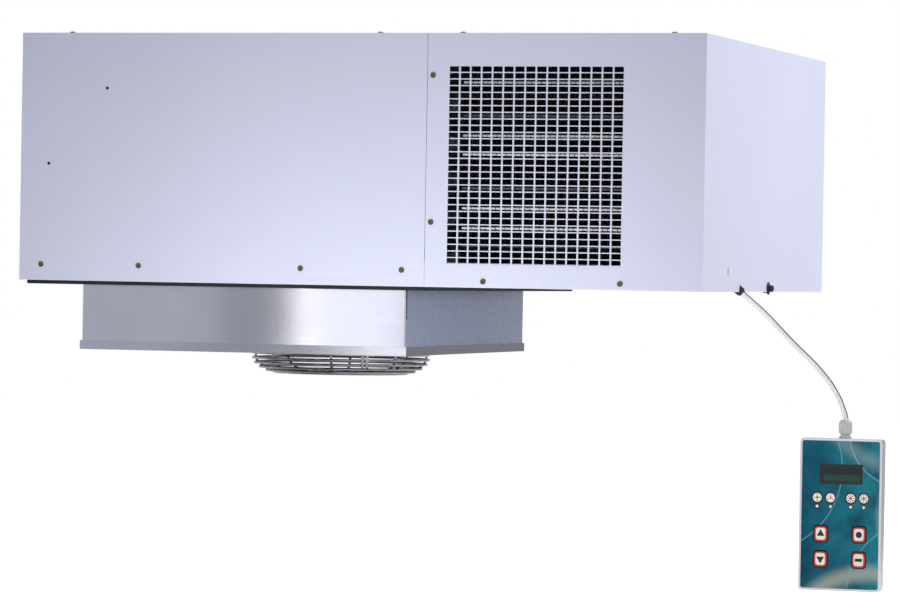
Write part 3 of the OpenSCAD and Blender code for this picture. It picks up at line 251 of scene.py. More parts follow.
# %% Group: settled dust
# The mask is patchy noise times how far the face looks up, plus a little everywhere.
dust_group, given, result = start_group("settled_dust", [("Scale", 14.0), ("Amount", 0.3)], ["Mask"])
patches = add_node(dust_group, "ShaderNodeTexNoise", (-600, 100), Detail=6.0, Roughness=0.7,
                   Vector=given.outputs["Vector"], Scale=given.outputs["Scale"])
facing = add_node(dust_group, "ShaderNodeNewGeometry", (-800, -200))
parts = add_node(dust_group, "ShaderNodeSeparateXYZ", (-600, -200), Vector=facing.outputs["Normal"])
upward = spread(dust_group, parts.outputs["Z"], 0.25, 1.0, (-400, -200))
sharper = spread(dust_group, patches.outputs["Fac"], 0.0, 1.0, (-400, 100), From_Min=0.42, From_Max=0.72)
times = calculate(dust_group, "MULTIPLY", sharper, upward, place=(-100, 0))
amount = calculate(dust_group, "MULTIPLY", times, given.outputs["Amount"], place=(150, 0))
dust_group.links.new(amount, result.inputs["Mask"])
print("group", dust_group.name, "gives", group_labels(result))


def place_group(tree, group, where, **values):
    """A group placed in a material, read at the given coordinates."""
    return add_node(tree, "ShaderNodeGroup", (-800, 0), node_tree=group, Vector=where, **values)


# %% [markdown]
# ## Paint, plastic and rubber
#
# The casing has a pale lavender powder coat: a satin paint with a very fine pebbled skin and hardly any
# colour change. Moulded plastic, rubber and foam are the same idea with other colours and coarser
# grain, so one recipe makes them all. The grain's height gives the bump, the cloud shifts colour and
# roughness a little, and dust pales the upper faces.
# %% Recipe for matt and satin finishes
dust_colour = screen(206, 202, 194)


def grained(name, colour, rough, fine=1500.0, bump=0.00002, broad=5.0, vary=0.06, dust=0.15):
    """A non-metal finish. Its colour moves by vary around the given one, its roughness by a tenth."""
    material, tree, shader, where = start_material(name, Roughness=rough)
    grain = place_group(tree, grain_group, where, Fine_Scale=fine, Broad_Scale=broad)
    cloud = grain.outputs["Cloud"]
    base = blend_colours(tree, cloud, shade_of(colour, 1 - vary), shade_of(colour, 1 + vary))
    settled = place_group(tree, dust_group, where, Amount=dust)
    tinted = blend_colours(tree, settled.outputs["Mask"], base, dust_colour)
    dress(tree, shader, tinted, cloud, (rough * 0.9, min(rough * 1.1, 1.0)), grain.outputs["Height"],
          bump)
    return material


casing_paint = grained("casing_paint", screen(206, 209, 229), 0.42, fine=900.0, bump=0.00009,
                       broad=3.0, vary=0.045, dust=0.06)
pan_paint = grained("pan_paint", screen(210, 213, 228), 0.45, dust=0.05)
foam_rubber = grained("foam_rubber", screen(34, 35, 38), 0.9, fine=700.0, bump=0.0003, dust=0.02)
soft_rubber = grained("soft_rubber", screen(30, 30, 33), 0.6, fine=1200.0, bump=0.00005, dust=0.04)
rigid_foam = grained("rigid_foam", screen(236, 226, 196), 0.85, fine=500.0, bump=0.0004, vary=0.08)
bead_foam = grained("bead_foam", screen(240, 239, 232), 0.8, fine=260.0, bump=0.0006, vary=0.05)
black_paint = grained("black_paint", screen(36, 38, 41), 0.32, vary=0.1, dust=0.2)
dark_plastic = grained("dark_plastic", screen(52, 55, 60), 0.45, vary=0.08, dust=0.12)
pale_plastic = grained("pale_plastic", screen(228, 231, 238), 0.35, vary=0.03, dust=0.06)
gland_nylon = grained("gland_nylon", screen(190, 192, 194), 0.3, bump=0.00003, vary=0.1, dust=0.05)
print("matt and satin finishes made:", len(bpy.data.materials))

# %% [markdown]
# ## Steel, chrome and copper
#
# The plug's front and the tray are brushed sheet steel with a cloudy stain here and there. The scratches
# lie level, so a bright card spreads into an upright band. The plug's sides have a speckled finish whose
# darker, bluer tone is painted shade. The bulkhead and brackets are galvanised, which shows a faint
# patchwork. The guard's wires are chrome, the screws are dull yellow zinc, and the pipes are copper that
# has darkened in patches.
# %% Recipe for brushed metal
scratch_depth, along_scale, across_scale = 0.00002, 9.0, 1400.0


def brushed(name, colour, rough, along="X", stain=0.16):
    """A metal whose streaks lie along one axis. Stain is how much darker its cloudy parts are."""
    material, tree, shader, where = start_material(name, Metallic=1.0, Roughness=rough)
    scales = {f"Scale_{axis}": along_scale if axis == along else across_scale for axis in "XYZ"}
    brush = place_group(tree, brush_group, where, Broad_Scale=11.0, **scales)
    streak = brush.outputs["Streak"]
    base = blend_colours(tree, brush.outputs["Cloud"], shade_of(colour, 1 - stain), colour)
    streaked = blend_colours(tree, spread(tree, streak, 0.0, 0.35), base, shade_of(colour, 0.7))
    dress(tree, shader, streaked, streak, (rough * 0.75, rough * 1.3), streak, scratch_depth)
    return material


plug_steel = brushed("plug_steel", screen(204, 205, 212), 0.1, along="X")
tray_steel = brushed("tray_steel", screen(196, 198, 206), 0.12, along="X")
remote_metal = brushed("remote_metal", screen(226, 227, 231), 0.3, along="Z", stain=0.05)
fin_metal = brushed("fin_metal", screen(196, 198, 202), 0.36, along="Z", stain=0.1)
print("brushed finishes:", plug_steel.name, tray_steel.name, remote_metal.name)

# %% Recipe for patchy metal
patch_depth = 0.00002


def patchy_metal(name, colour, other, rough, scale, crisp=False):
    """A metal with patches of a second colour: rounded clouds, or crisp crystals as on galvanised
    sheet. The patches also change its roughness."""
    material, tree, shader, where = start_material(name, Metallic=1.0, Roughness=rough)
    if crisp:
        cells = add_node(tree, "ShaderNodeTexVoronoi", (-800, 0), Scale=scale, Vector=where)
        parts = add_node(tree, "ShaderNodeSeparateColor", (-600, 0), Color=cells.outputs["Color"])
        mask = parts.outputs["Red"]
    else:
        grain = place_group(tree, grain_group, where, Fine_Scale=1200.0, Broad_Scale=scale)
        mask = grain.outputs["Cloud"]
    dress(tree, shader, blend_colours(tree, mask, colour, other), mask, (rough * 0.8, rough * 1.3),
          mask, patch_depth)
    return material


# The plug's sides: a speckled steel whose darker, bluer tone is painted shade.
plug_side_steel_shaded = patchy_metal("plug_side_steel_shaded", screen(222, 232, 255), screen(84, 96, 134), 0.36,
                               420.0)
galvanised = patchy_metal("galvanised", screen(176, 180, 186), screen(146, 151, 158), 0.4, 90.0, True)
chrome_wire = patchy_metal("chrome_wire", screen(206, 207, 211), screen(92, 94, 102), 0.08, 55.0)
zinc_screw = patchy_metal("zinc_screw", screen(150, 134, 100), screen(112, 96, 70), 0.38, 500.0)
copper = patchy_metal("copper", screen(196, 128, 92), screen(120, 72, 50), 0.3, 35.0)
# Near black for the condenser coil's fins and tubes. On the copper tubes it is painted shade.
near_black_coil = grained("near_black_coil", screen(17, 17, 19), 0.6, vary=0.2, dust=0.0)
bright_tube = patchy_metal("bright_tube", screen(214, 210, 204), screen(170, 160, 150), 0.18, 30.0)
print("patchy metals:", plug_side_steel_shaded.name, galvanised.name, chrome_wire.name, copper.name)

# %% [markdown]
# ## The remote's printed film, display and keys
#
# The film over the remote's face is teal, paler to the right, with soft pale patches that are painted
# highlights, and thin printed curved lines.
# Both are parts of large circles: a group measures how far a point lies from a circle's line and turns
# that into a soft-edged mask. They are this object's own, laid out to fill the face in like colours.
# %% Group: curved band
band_group, given, result = start_group(
    "curved_band", [("Centre X", 0.0), ("Centre Z", 0.0), ("Radius", 0.1), ("Half Width", 0.004),
                     ("Core", 0.55)], ["Mask"])
parts = add_node(band_group, "ShaderNodeSeparateXYZ", (-700, 0), Vector=given.outputs["Vector"])
offsets = {axis: calculate(band_group, "SUBTRACT", parts.outputs[axis], given.outputs[f"Centre {axis}"],
                           place=(-500, 0)) for axis in "XZ"}
flat = add_node(band_group, "ShaderNodeCombineXYZ", (-300, 0), **offsets)
distance = calculate(band_group, "LENGTH", flat.outputs["Vector"], place=(-150, 0),
                     kind="ShaderNodeVectorMath", out=1)
off_line = calculate(band_group, "SUBTRACT", distance, given.outputs["Radius"], place=(0, 0))
size = calculate(band_group, "ABSOLUTE", off_line, place=(100, 0))
share = calculate(band_group, "DIVIDE", size, given.outputs["Half Width"], place=(200, 0))
soft = spread(band_group, share, 1.0, 0.0, (300, 0), interpolation_type="SMOOTHSTEP",
              From_Min=given.outputs["Core"], From_Max=1.0)
band_group.links.new(soft, result.inputs["Mask"])
print("group", band_group.name, "gives", group_labels(result))

# %% Printed film
face_low, face_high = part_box("remote_front_shell")
face_width, face_height = face_high.x - face_low.x, face_high.z - face_low.z


def on_face(across, down):
    """A place on the remote's face from shares of its width from the left and height from the top."""
    return face_low.x + across * face_width, face_high.z - down * face_height


# Each band: centre in shares of the face, radius, half width, core, strength and screen colour.
painted_highlight_core, line_core = 0.0, 0.55
film_bands = [
    # The first three bands are soft painted highlights; the other four are thin printed lines.
    (1.2, -0.35, 0.105, 0.018, painted_highlight_core, 0.30, (170, 200, 202)),
    (0.9, 1.5, 0.125, 0.018, painted_highlight_core, 0.45, (214, 208, 188)),
    (1.9, 0.5, 0.098, 0.012, painted_highlight_core, 0.45, (178, 206, 208)),
    (-0.5, 0.2, 0.112, 0.0010, line_core, 0.55, (110, 186, 196)),
    (1.5, 1.02, 0.1, 0.0010, line_core, 0.5, (120, 190, 200)),
    (0.3, 1.75, 0.142, 0.0008, line_core, 0.5, (150, 204, 210)),
    (1.25, -0.05, 0.072, 0.0010, line_core, 0.5, (150, 200, 206)),
]


def start_film():
    """The teal film: deep teal that pales to the right, with soft pale painted highlights and thin
    printed curved lines.
    """
    material, tree, shader, where = start_material("printed_film", Roughness=0.34,
                                                   Specular_IOR_Level=0.1)
    parts = add_node(tree, "ShaderNodeSeparateXYZ", (-1000, 200), Vector=where)
    across = spread(tree, parts.outputs["X"], 0.0, 1.0, (-800, 200), From_Min=face_low.x,
                    From_Max=face_high.x)
    colour = blend_colours(tree, across, screen(4, 86, 108), screen(34, 134, 150))
    grain = place_group(tree, grain_group, where, Fine_Scale=900.0, Broad_Scale=30.0)
    cloud = spread(tree, grain.outputs["Cloud"], -0.9, 1.5)
    colour = blend_colours(tree, cloud, colour, screen(4, 62, 84))
    for x_share, z_share, radius, half_width, core, strength, pale in film_bands:
        x, z = on_face(x_share, z_share)
        band = place_group(tree, band_group, where, Centre_X=x, Centre_Z=z, Radius=radius,
                           Half_Width=half_width, Core=core)
        mask = spread(tree, band.outputs["Mask"], 0.0, strength)
        colour = blend_colours(tree, mask, colour, screen(*pale))
    tree.links.new(colour, shader.inputs["Base Color"])
    raise_surface(tree, shader, grain.outputs["Height"], 0.00001)
    return material


printed_film = start_film()
print("film covers", round(face_width, 4), "by", round(face_height, 4), "m")

# %% [markdown]
# The small prints and the key caps are glossy inks on film, each one colour with a faint mottling. The
# display is a dark green tinted pane. Its lower part is a little lighter, a painted reflection, so its
# colour changes with height.
# %% Inks, display and circuit board
ink = {name: grained(f"ink_{name}", screen(*colour), 0.3, fine=2000.0, bump=0.000005, broad=60.0,
                     vary=0.05, dust=0.0)
       for name, colour in (("white", (244, 236, 226)), ("black", (16, 16, 18)), ("red", (206, 44, 30)),
                            ("amber", (226, 150, 40)), ("green", (44, 150, 84)))}


def start_display():
    """The tinted pane: colour blends from dark green above to mid green below over a narrow step at mid
    height; the lighter lower part is a painted reflection.
    """
    material, tree, shader, where = start_material("display_pane", Roughness=0.2,
                                                   Specular_IOR_Level=0.35)
    low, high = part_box("remote_window")
    parts = add_node(tree, "ShaderNodeSeparateXYZ", (-1000, 200), Vector=where)
    # The step makes the lower part lighter: a painted reflection.
    step = spread(tree, parts.outputs["Z"], 0.0, 1.0, (-800, 200),
                  From_Min=low.z * 0.58 + high.z * 0.42, From_Max=low.z * 0.5 + high.z * 0.5)
    grain = place_group(tree, grain_group, where, Broad_Scale=120.0)
    shade = blend_colours(tree, step, screen(22, 70, 58), screen(8, 34, 32))
    cloud = spread(tree, grain.outputs["Cloud"], 0.0, 0.25)
    tree.links.new(blend_colours(tree, cloud, shade, screen(6, 20, 20)), shader.inputs["Base Color"])
    return material


display_pane = start_display()
circuit_board = grained("circuit_board", screen(34, 104, 62), 0.35, broad=90.0, vary=0.25, dust=0.1)


def start_sheath():
    """A pale sheath with a painted dark reflection along its upper right side. It grows dark where the
    normal's share along one fixed direction rises from 0.5 to 0.7, so within 60 to 45 degrees of it."""
    material, tree, shader, where = start_material("cable_sheath", Roughness=0.45)
    grain = place_group(tree, grain_group, where, Fine_Scale=600.0, Broad_Scale=25.0)
    pale = blend_colours(tree, grain.outputs["Cloud"], screen(232, 232, 233), screen(240, 240, 241))
    facing = add_node(tree, "ShaderNodeNewGeometry", (-900, -200))
    along = calculate(tree, "DOT_PRODUCT", facing.outputs["Normal"], (0.78, 0.12, 0.62),
                      place=(-700, -200), kind="ShaderNodeVectorMath", out=1)
    # The dark line is a painted reflection on the side that faces up and right.
    line = spread(tree, along, 0.0, 1.0, (-500, -200), From_Min=0.5, From_Max=0.7)
    tree.links.new(blend_colours(tree, line, pale, screen(44, 44, 46)), shader.inputs["Base Color"])
    return material


cable_sheath = start_sheath()
print("inks", sorted(ink), "and", display_pane.name, circuit_board.name, cable_sheath.name)

# %% [markdown]
# ## Finishes on the CAD parts
#
# Parts whose CAD shape is already right keep it and take a finish. Many of them sit inside the casing
# and show only when someone takes the unit apart, or through the grille and the fan guard.
# %% Give the CAD parts their finishes
cad_finishes = {
    galvanised: ["bulkhead", "evaporator_end_plates", "condenser_end_plates", "drip_tray",
                 "evaporator_motor_bracket", "condenser_motor_bracket", "condenser_shroud",
                 "electrical_box", "electrical_box_cover"],
    rigid_foam: ["plug_insulation"],
    bead_foam: ["insulated_box"],
    copper: ["evaporator_tubes", "filter_drier", "capillary_tube", "discharge_pipe"],
    bright_tube: ["defrost_heater"],
    black_paint: ["compressor", "evaporator_motor", "condenser_motor"],
    soft_rubber: ["compressor_feet", "suction_pipe", "cable_grommet", "spare_cable_entry"],
    dark_plastic: ["compressor_terminal_cover"],
    circuit_board: ["control_board", "remote_board"],
    zinc_screw: ["panel_screws", "fan_guard_screws", "remote_screws"],
    fin_metal: ["evaporator_fins"],
    # The condenser coil is near black; on its copper tubes that is painted shade.
    near_black_coil: ["condenser_fins", "condenser_tubes"],
    pale_plastic: ["side_hole_cap", "drain_pipe"],
    display_pane: ["remote_window"],
}


def finish_part(part, material):
    """Puts one material in all of a part's slots."""
    if not part.material_slots:
        part.data.materials.append(material)
    for held in part.material_slots:
        held.material = material


for material, names in cad_finishes.items():
    for name in names:
        finish_part(nodes[name], material)
print("CAD parts finished:", sum(len(names) for names in cad_finishes.values()))


def link_piece(name, mesh, material, body):
    """A new object from a mesh, with its finish, the body it rides on and its finish's slot."""
    piece = bpy.data.objects.new(name, mesh)
    bpy.context.scene.collection.objects.link(piece)
    finish_part(piece, material)
    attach(piece, body)
    return piece


sheet_angle = math.radians(40)
same_point, flat_angle = 2e-6, math.radians(0.5)


def rounded_copy(node, radius, material):
    """A CAD part's copy with each edge sharper than 40 degrees rounded by radius, in metres."""
    mesh = nodes[node].data.copy()
    mesh.name = f"{node}_rounded"
    work = bmesh.new()
    work.from_mesh(mesh)
    bmesh.ops.remove_doubles(work, verts=work.verts, dist=same_point)
    bmesh.ops.dissolve_limit(work, angle_limit=flat_angle, verts=work.verts, edges=work.edges)
    work.to_mesh(mesh)
    work.free()
    mesh.materials.clear()
    mesh.shade_smooth()
    mesh.set_sharp_from_angle(angle=sheet_angle)
    piece = link_piece(f"{node}_rounded", mesh, material, "root")
    edges = piece.modifiers.new("edges", "BEVEL")
    edges.width, edges.segments = radius, 2
    edges.limit_method, edges.angle_limit = "ANGLE", sheet_angle
    edges.harden_normals = True
    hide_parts(node)
    return piece


rounded = [rounded_copy(node, radius, material) for node, radius, material in (
    ("evaporator_front_panel", 0.0005, casing_paint), ("evaporator_side_panel", 0.0005, casing_paint),
    ("evaporator_rear_panel", 0.0005, casing_paint), ("evaporator_lid", 0.0005, casing_paint),
    ("condenser_front_panel", 0.0004, casing_paint), ("condenser_side_panel", 0.0005, casing_paint),
    ("condenser_rear_panel", 0.0004, casing_paint), ("condenser_lid", 0.0005, casing_paint),
    ("base_pan", 0.0006, pan_paint), ("roof_gasket", 0.0012, foam_rubber),
    ("plug_tray", 0.0004, tray_steel), ("outlet_louvre", 0.0003, pale_plastic),
    ("remote_front_shell", 0.0008, remote_metal), ("remote_back_shell", 0.0008, remote_metal),
    ("remote_overlay", 0.0001, printed_film))]
print("rounded copies:", len(rounded), "faces", sum(len(p.data.polygons) for p in rounded))

# %% [markdown]
# ## Tools for worked-out surfaces
#
# The new pieces are grids of points worked out as whole arrays: a shape is a function of two numbers,
# one along it and one round it. One helper joins a grid's neighbours with four-sided faces, and one
# turns the arrays into a mesh whose faces all point outwards.
# %% Grid and mesh helpers
def grid_faces(rows, columns, close_rows=False, close_columns=False, start=0):
    """Four-sided faces between points (i, j), (i + 1, j), (i + 1, j + 1) and (i, j + 1) of a grid.
    A closed direction joins its last line of points to its first."""
    i = np.arange(rows if close_rows else rows - 1)[:, None]
    j = np.arange(columns if close_columns else columns - 1)[None, :]
    next_i, next_j = (i + 1) % rows, (j + 1) % columns
    corners = [i * columns + j, next_i * columns + j, next_i * columns + next_j, i * columns + next_j]
    return (np.stack(corners, axis=-1).reshape(-1, 4) + start).tolist()


def end_faces(rows, columns, start=0):
    """The two many-sided faces that close a tube's first and last line of points."""
    first = np.arange(columns)
    return [(first + start).tolist(), (first[::-1] + (rows - 1) * columns + start).tolist()]


def tube_parts(grids, close_rows=False):
    """Points and faces of several tubes of one grid size. Each grid is closed round its columns."""
    count, rows, columns = grids.shape[:3]
    faces = []
    for k in range(count):
        start = k * rows * columns
        faces += grid_faces(rows, columns, close_rows, True, start)
        faces += [] if close_rows else end_faces(rows, columns, start)
    return grids.reshape(-1, 3), faces


smooth_angle = math.radians(35)


def mesh_piece(name, points, faces, material, body="root"):
    """A piece from an array of points and a list of faces, shaded smooth except past 35 degrees."""
    mesh = bpy.data.meshes.new(name)
    mesh.from_pydata(points.tolist(), [], faces)
    work = bmesh.new()
    work.from_mesh(mesh)
    bmesh.ops.recalc_face_normals(work, faces=work.faces)
    work.to_mesh(mesh)
    work.free()
    mesh.shade_smooth()
    mesh.set_sharp_from_angle(angle=smooth_angle)
    mesh.validate()
    return link_piece(name, mesh, material, body)


def tubes_piece(name, grids, material, body="root", close_rows=False):
    """One piece made of several tubes, plates or turned shapes of one grid size."""
    points, faces = tube_parts(grids, close_rows)
    return mesh_piece(name, points, faces, material, body)


def swept(path, side, radius, sides=12):
    """A tube's points: path point plus radius times (cos a side + sin a (ahead x side)) at angle a,
    where ahead is the path's direction. The path lies in a plane that side is square to."""
    ahead = np.gradient(path, axis=-2)
    ahead = ahead / np.linalg.norm(ahead, axis=-1, keepdims=True)
    other = np.cross(ahead, side)
    angle = np.linspace(0.0, 2 * np.pi, sides, endpoint=False)[:, None]
    side = np.broadcast_to(side, other.shape)
    ring = np.cos(angle) * side[..., None, :] + np.sin(angle) * other[..., None, :]
    return path[..., None, :] + radius * ring


def turned(profile, place, sides=48, along="Z", flute=None):
    """A turned shape's points: each (radius, height) pair at angle a becomes radius (cos a, sin a)
    across the axis and height along it. Flute(height, a) is a change of radius at that point."""
    radius, height = profile[:, 0][:, None], profile[:, 1][:, None]
    angle = np.linspace(0.0, 2 * np.pi, sides, endpoint=False)[None, :]
    if flute is not None:
        radius = radius + flute(height, angle)
    across, other = radius * np.cos(angle), radius * np.sin(angle)
    level = np.broadcast_to(height, across.shape)
    order = (across, other, level) if along == "Z" else (across, level, other)
    return np.stack(order, axis=-1) + np.asarray(place)


print("a 3 by 4 grid closed round has", len(grid_faces(3, 4, False, True)), "faces")

# %% [markdown]
# ## The cable
#
# The cable is a curve of one open spline with a round section. It rides with the casing, because the
# remote hangs still, and it stands for the CAD model's coarser tube.
# %% Cable
sheath = bpy.data.curves.new("remote_cable_line", "CURVE")
sheath.dimensions = "3D"
sheath.bevel_depth = cable_diameter / 2
sheath.bevel_resolution = 6
sheath.use_fill_caps = True
spline = sheath.splines.new("POLY")
spline.points.add(len(cable_line) - 1)
spline.points.foreach_set("co", np.c_[cable_line, np.ones(len(cable_line))].ravel())
spline.use_smooth = True
cable = bpy.data.objects.new("control_cable", sheath)
bpy.context.scene.collection.objects.link(cable)
finish_part(cable, cable_sheath)
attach(cable, "root")
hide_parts("remote_cable")
print("cable piece", cable.name, "with", len(cable_line), "points")

# %% [markdown]
# ## Tubes behind the grille
#
# Through the grille the photograph shows the dark coil crossed by level tubes that catch the light, some
# brightly and some dimly. They are straight round bars laid along the coil's face, at the heights of the
# photograph's lines, with painted glints: a pale and a grey copy of one paint stand for the bright and
# the dim lines. Their paint is patchy, so each painted glint breaks up along its length.
# %% Coil tubes
coil_low, coil_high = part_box("condenser_fins")
tube_radius, tube_steps = 0.0016, 24
tube_line = np.linspace(coil_low.x, coil_high.x, tube_steps)
tube_y = np.full(tube_steps, coil_low.y + tube_radius)
# Painted glints: the bright bars are pale paint for light caught on the tubes, the dim bars grey paint.
for name, heights, colour in (("bright", (0.2733, 0.2037, 0.1791, 0.1089, 0.0829), (240, 240, 244)),
                              ("dim", (0.2297, 0.1351, 0.0601), (96, 96, 100))):
    tube_glint_paint = grained(f"tube_{name}", screen(*colour), 0.3, fine=600.0, broad=46.0, vary=0.35,
                         dust=0.0)
    lines = np.stack([np.c_[tube_line, tube_y, np.full(tube_steps, z)] for z in heights])
    tubes_piece(f"coil_glint_bars_{name}", swept(lines, np.array([0.0, 1.0, 0.0]), tube_radius), tube_glint_paint)
print("coil tubes from", round(coil_low.x, 4), "to", round(coil_high.x, 4))

# %% [markdown]
# ## The fan guard
#
# Under the tray a chrome wire guard keeps hands off the fan. It is made as the real one is: level rings
# of one wire gauge, welded to radial wires that run up over the shoulder to four flat feet. A ring is a
# circle carried round the axis. A radial wire is a circle carried along a smooth line in its own
# upright plane. A ring share is a part of the guard's radius and of its depth.
# %% Guard sizes
guard_centre = np.array([0.047, 0.0, -0.088])
guard_radius, guard_depth, wire_radius = 0.1235, 0.030, 0.0018
ring_shares = np.array([
    [1, 0.06], [1, 0.3], [0.975, 0.52], [0.92, 0.72], [0.84, 0.87], [0.75, 0.95], [0.65, 0.95],
    [0.55, 0.95], [0.45, 0.95], [0.35, 0.95], [0.25, 0.95], [0.15, 0.95]])
ring_radii = ring_shares[:, 0] * guard_radius
ring_levels = -ring_shares[:, 1] * guard_depth - wire_radius
first_foot = 57.0
foot_angles = np.radians(first_foot + 90.0 * np.arange(4))
print("guard rings", len(ring_radii), "widest", guard_radius, "m")

# %% Guard rings
section_steps, round_steps = 12, 120
section = np.linspace(0.0, 2 * np.pi, section_steps, endpoint=False)[None, :, None]
round_axis = np.linspace(0.0, 2 * np.pi, round_steps, endpoint=False)[None, None, :]
wire_out = ring_radii[:, None, None] + wire_radius * np.cos(section)
wire_level = np.broadcast_to(ring_levels[:, None, None] + wire_radius * np.sin(section),
                             (len(ring_radii), section_steps, round_steps))
rings = np.stack([wire_out * np.cos(round_axis), wire_out * np.sin(round_axis), wire_level], axis=-1)
guard_rings = tubes_piece("guard_rings", rings + guard_centre, chrome_wire,
                          close_rows=True)
print("ring faces", len(guard_rings.data.polygons))

# %% Guard's radial wires
# Each wire follows some of the rings on their inner side, just under one wire's width from their
# centres, and starts at the tray.
followed, inner_step, wire_top = [1, 2, 3, 4, 5, 11], 0.0034, -0.0005
inward = np.array([[-1, 0.1], [-0.94, 0.34], [-0.8, 0.6], [-0.6, 0.8], [-0.1, 1.0], [0, 1.0]])
bend = np.stack([ring_radii[followed], ring_levels[followed]], axis=-1)
bend = np.vstack([[bend[0, 0] - inner_step, wire_top], bend + inner_step * inward])
shape = smooth_line(np.c_[bend[:, 0], np.zeros(len(bend)), bend[:, 1]], 6)
spoke_angle = np.radians(first_foot + 45.0 * np.arange(8))[:, None]
wires = np.stack([shape[None, :, 0] * np.cos(spoke_angle), shape[None, :, 0] * np.sin(spoke_angle),
                  np.broadcast_to(shape[None, :, 2], (8, len(shape)))], axis=-1) + guard_centre
sideways = np.stack([-np.sin(spoke_angle), np.cos(spoke_angle), 0 * spoke_angle], axis=-1)
tubes_piece("guard_radial_wires", swept(wires, sideways, wire_radius), chrome_wire)
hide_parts("fan_guard")
print("radial wires", len(spoke_angle), "of", len(shape), "points")

# %% [markdown]
# ## Plates, caps and prints
#
# Feet, key caps and prints are all flat shapes with a thickness: an outline is drawn at several heights
# and drawn in a little where the edge is rounded. The outline lies in the plane of two directions, and
# height is measured along the third.
# %% Plate helpers
def rounded_outline(width, height, radius, per_corner=7):
    """A rounded rectangle: each corner's centre plus radius times (cos a, sin a) over a quarter turn."""
    centres = np.array([[1, 1], [-1, 1], [-1, -1], [1, -1]]) * [width / 2 - radius, height / 2 - radius]
    a = np.linspace(0, np.pi / 2, per_corner)[None, :] + np.arange(4)[:, None] * np.pi / 2
    return (centres[:, None, :] + radius * np.stack([np.cos(a), np.sin(a)], axis=-1)).reshape(-1, 2)


def polygon_outline(sides, radius, first=90.0):
    """A regular outline: sides points at equal angles from the first, given in degrees."""
    a = np.radians(first) + np.arange(sides) * 2 * np.pi / sides
    return radius * np.stack([np.cos(a), np.sin(a)], axis=-1)


def plate(outline, layers, origin, across=(1, 0, 0), up=(0, 0, 1)):
    """Points of a plate. A layer is (height, inset): outline point (x, y) is scaled by one less
    inset / half size, and becomes origin + x across + y up + height (across x up)."""
    layers, across, up = np.asarray(layers), np.asarray(across, float), np.asarray(up, float)
    drawn = outline[None] * (1 - layers[:, 1][:, None, None] / np.abs(outline).max(axis=0))
    out = np.cross(across, up)
    return (np.asarray(origin) + drawn[..., :1] * across + drawn[..., 1:] * up
            + layers[:, 0][:, None, None] * out)


def soft_edges(low, high, edge):
    """Four layers of a plate from low to high whose two edges are rounded by edge."""
    return [(low, edge), (low + edge, 0.0), (high - edge, 0.0), (high, edge)]


print("a rounded outline has", len(rounded_outline(1, 1, 0.1)), "points")

# %% Guard's feet and clips
# Four flat feet lie under the tray, and two small upright clips hold the rings at the front right.
foot_radius, clip_radius, clip_drop = 0.1305, 0.126, 0.0118
feet = np.stack([plate(rounded_outline(0.022, 0.014, 0.004), soft_edges(-0.0015, -0.0001, 0.0003),
                       guard_centre + foot_radius * np.array([np.cos(a), np.sin(a), 0]),
                       (np.cos(a), np.sin(a), 0), (-np.sin(a), np.cos(a), 0)) for a in foot_angles])
tubes_piece("guard_feet", feet, chrome_wire)
clip_angle = np.radians(-56.5)
outward = np.array([np.cos(clip_angle), np.sin(clip_angle), 0.0])
beside = np.array([-outward[1], outward[0], 0.0])
clip_place = guard_centre + clip_radius * outward - [0.0, 0.0, clip_drop]
clips = np.stack([plate(rounded_outline(0.0042, 0.019, 0.0012, 4), soft_edges(-0.0008, 0.0008, 0.0003),
                        clip_place + shift * beside, beside) for shift in (-0.0032, 0.0032)])
tubes_piece("guard_clips", clips, chrome_wire)
print("feet", len(feet), "clips", len(clips))

# %% [markdown]
# ## The fans
#
# Both fans are moulded: five blades on a cupped hub. A blade is a thin curved section whose chord grows
# from the hub to the tip and whose pitch flattens on the way, wrapped round the axis at each radius, so
# that its tip follows the opening. The section is a flattened ellipse on a bowed line.
# %% Fan blades and hubs
blade_steps, blade_sides, blade_sweep = 16, 28, 0.35
blade_thickness, blade_bow, hub_sides = 0.0011, 0.055, 48


def blade_points(tip, root, count, chord_share):
    """Blade k at share s of its length and section angle b. Chord place c is half cos b, thickness is
    sin b, the pitch falls from 40 to 24 degrees, and the point is turned by its chord place / radius."""
    s = np.linspace(0.0, 1.0, blade_steps)[None, :, None]
    b = np.linspace(0.0, 2 * np.pi, blade_sides, endpoint=False)[None, None, :]
    k = np.arange(count)[:, None, None]
    chord = tip * chord_share * (0.62 + 0.5 * np.sin(s * 2.2))
    pitch = np.radians(40.0 - 16.0 * s)
    c = 0.5 * np.cos(b)
    bow = blade_bow * chord * (1 - 4 * c**2)
    rise = bow + blade_thickness * (1 + 0.6 * (1 - s)) * np.sin(b)
    radius = root + (tip - root) * s
    along = chord * c * np.cos(pitch) - rise * np.sin(pitch)
    axial = chord * c * np.sin(pitch) + rise * np.cos(pitch) - 0.02 * chord
    angle = 2 * np.pi * k / count + along / radius - blade_sweep * s
    level = np.broadcast_to(axial, angle.shape)
    return np.stack([radius * np.cos(angle), radius * np.sin(angle), level], axis=-1)


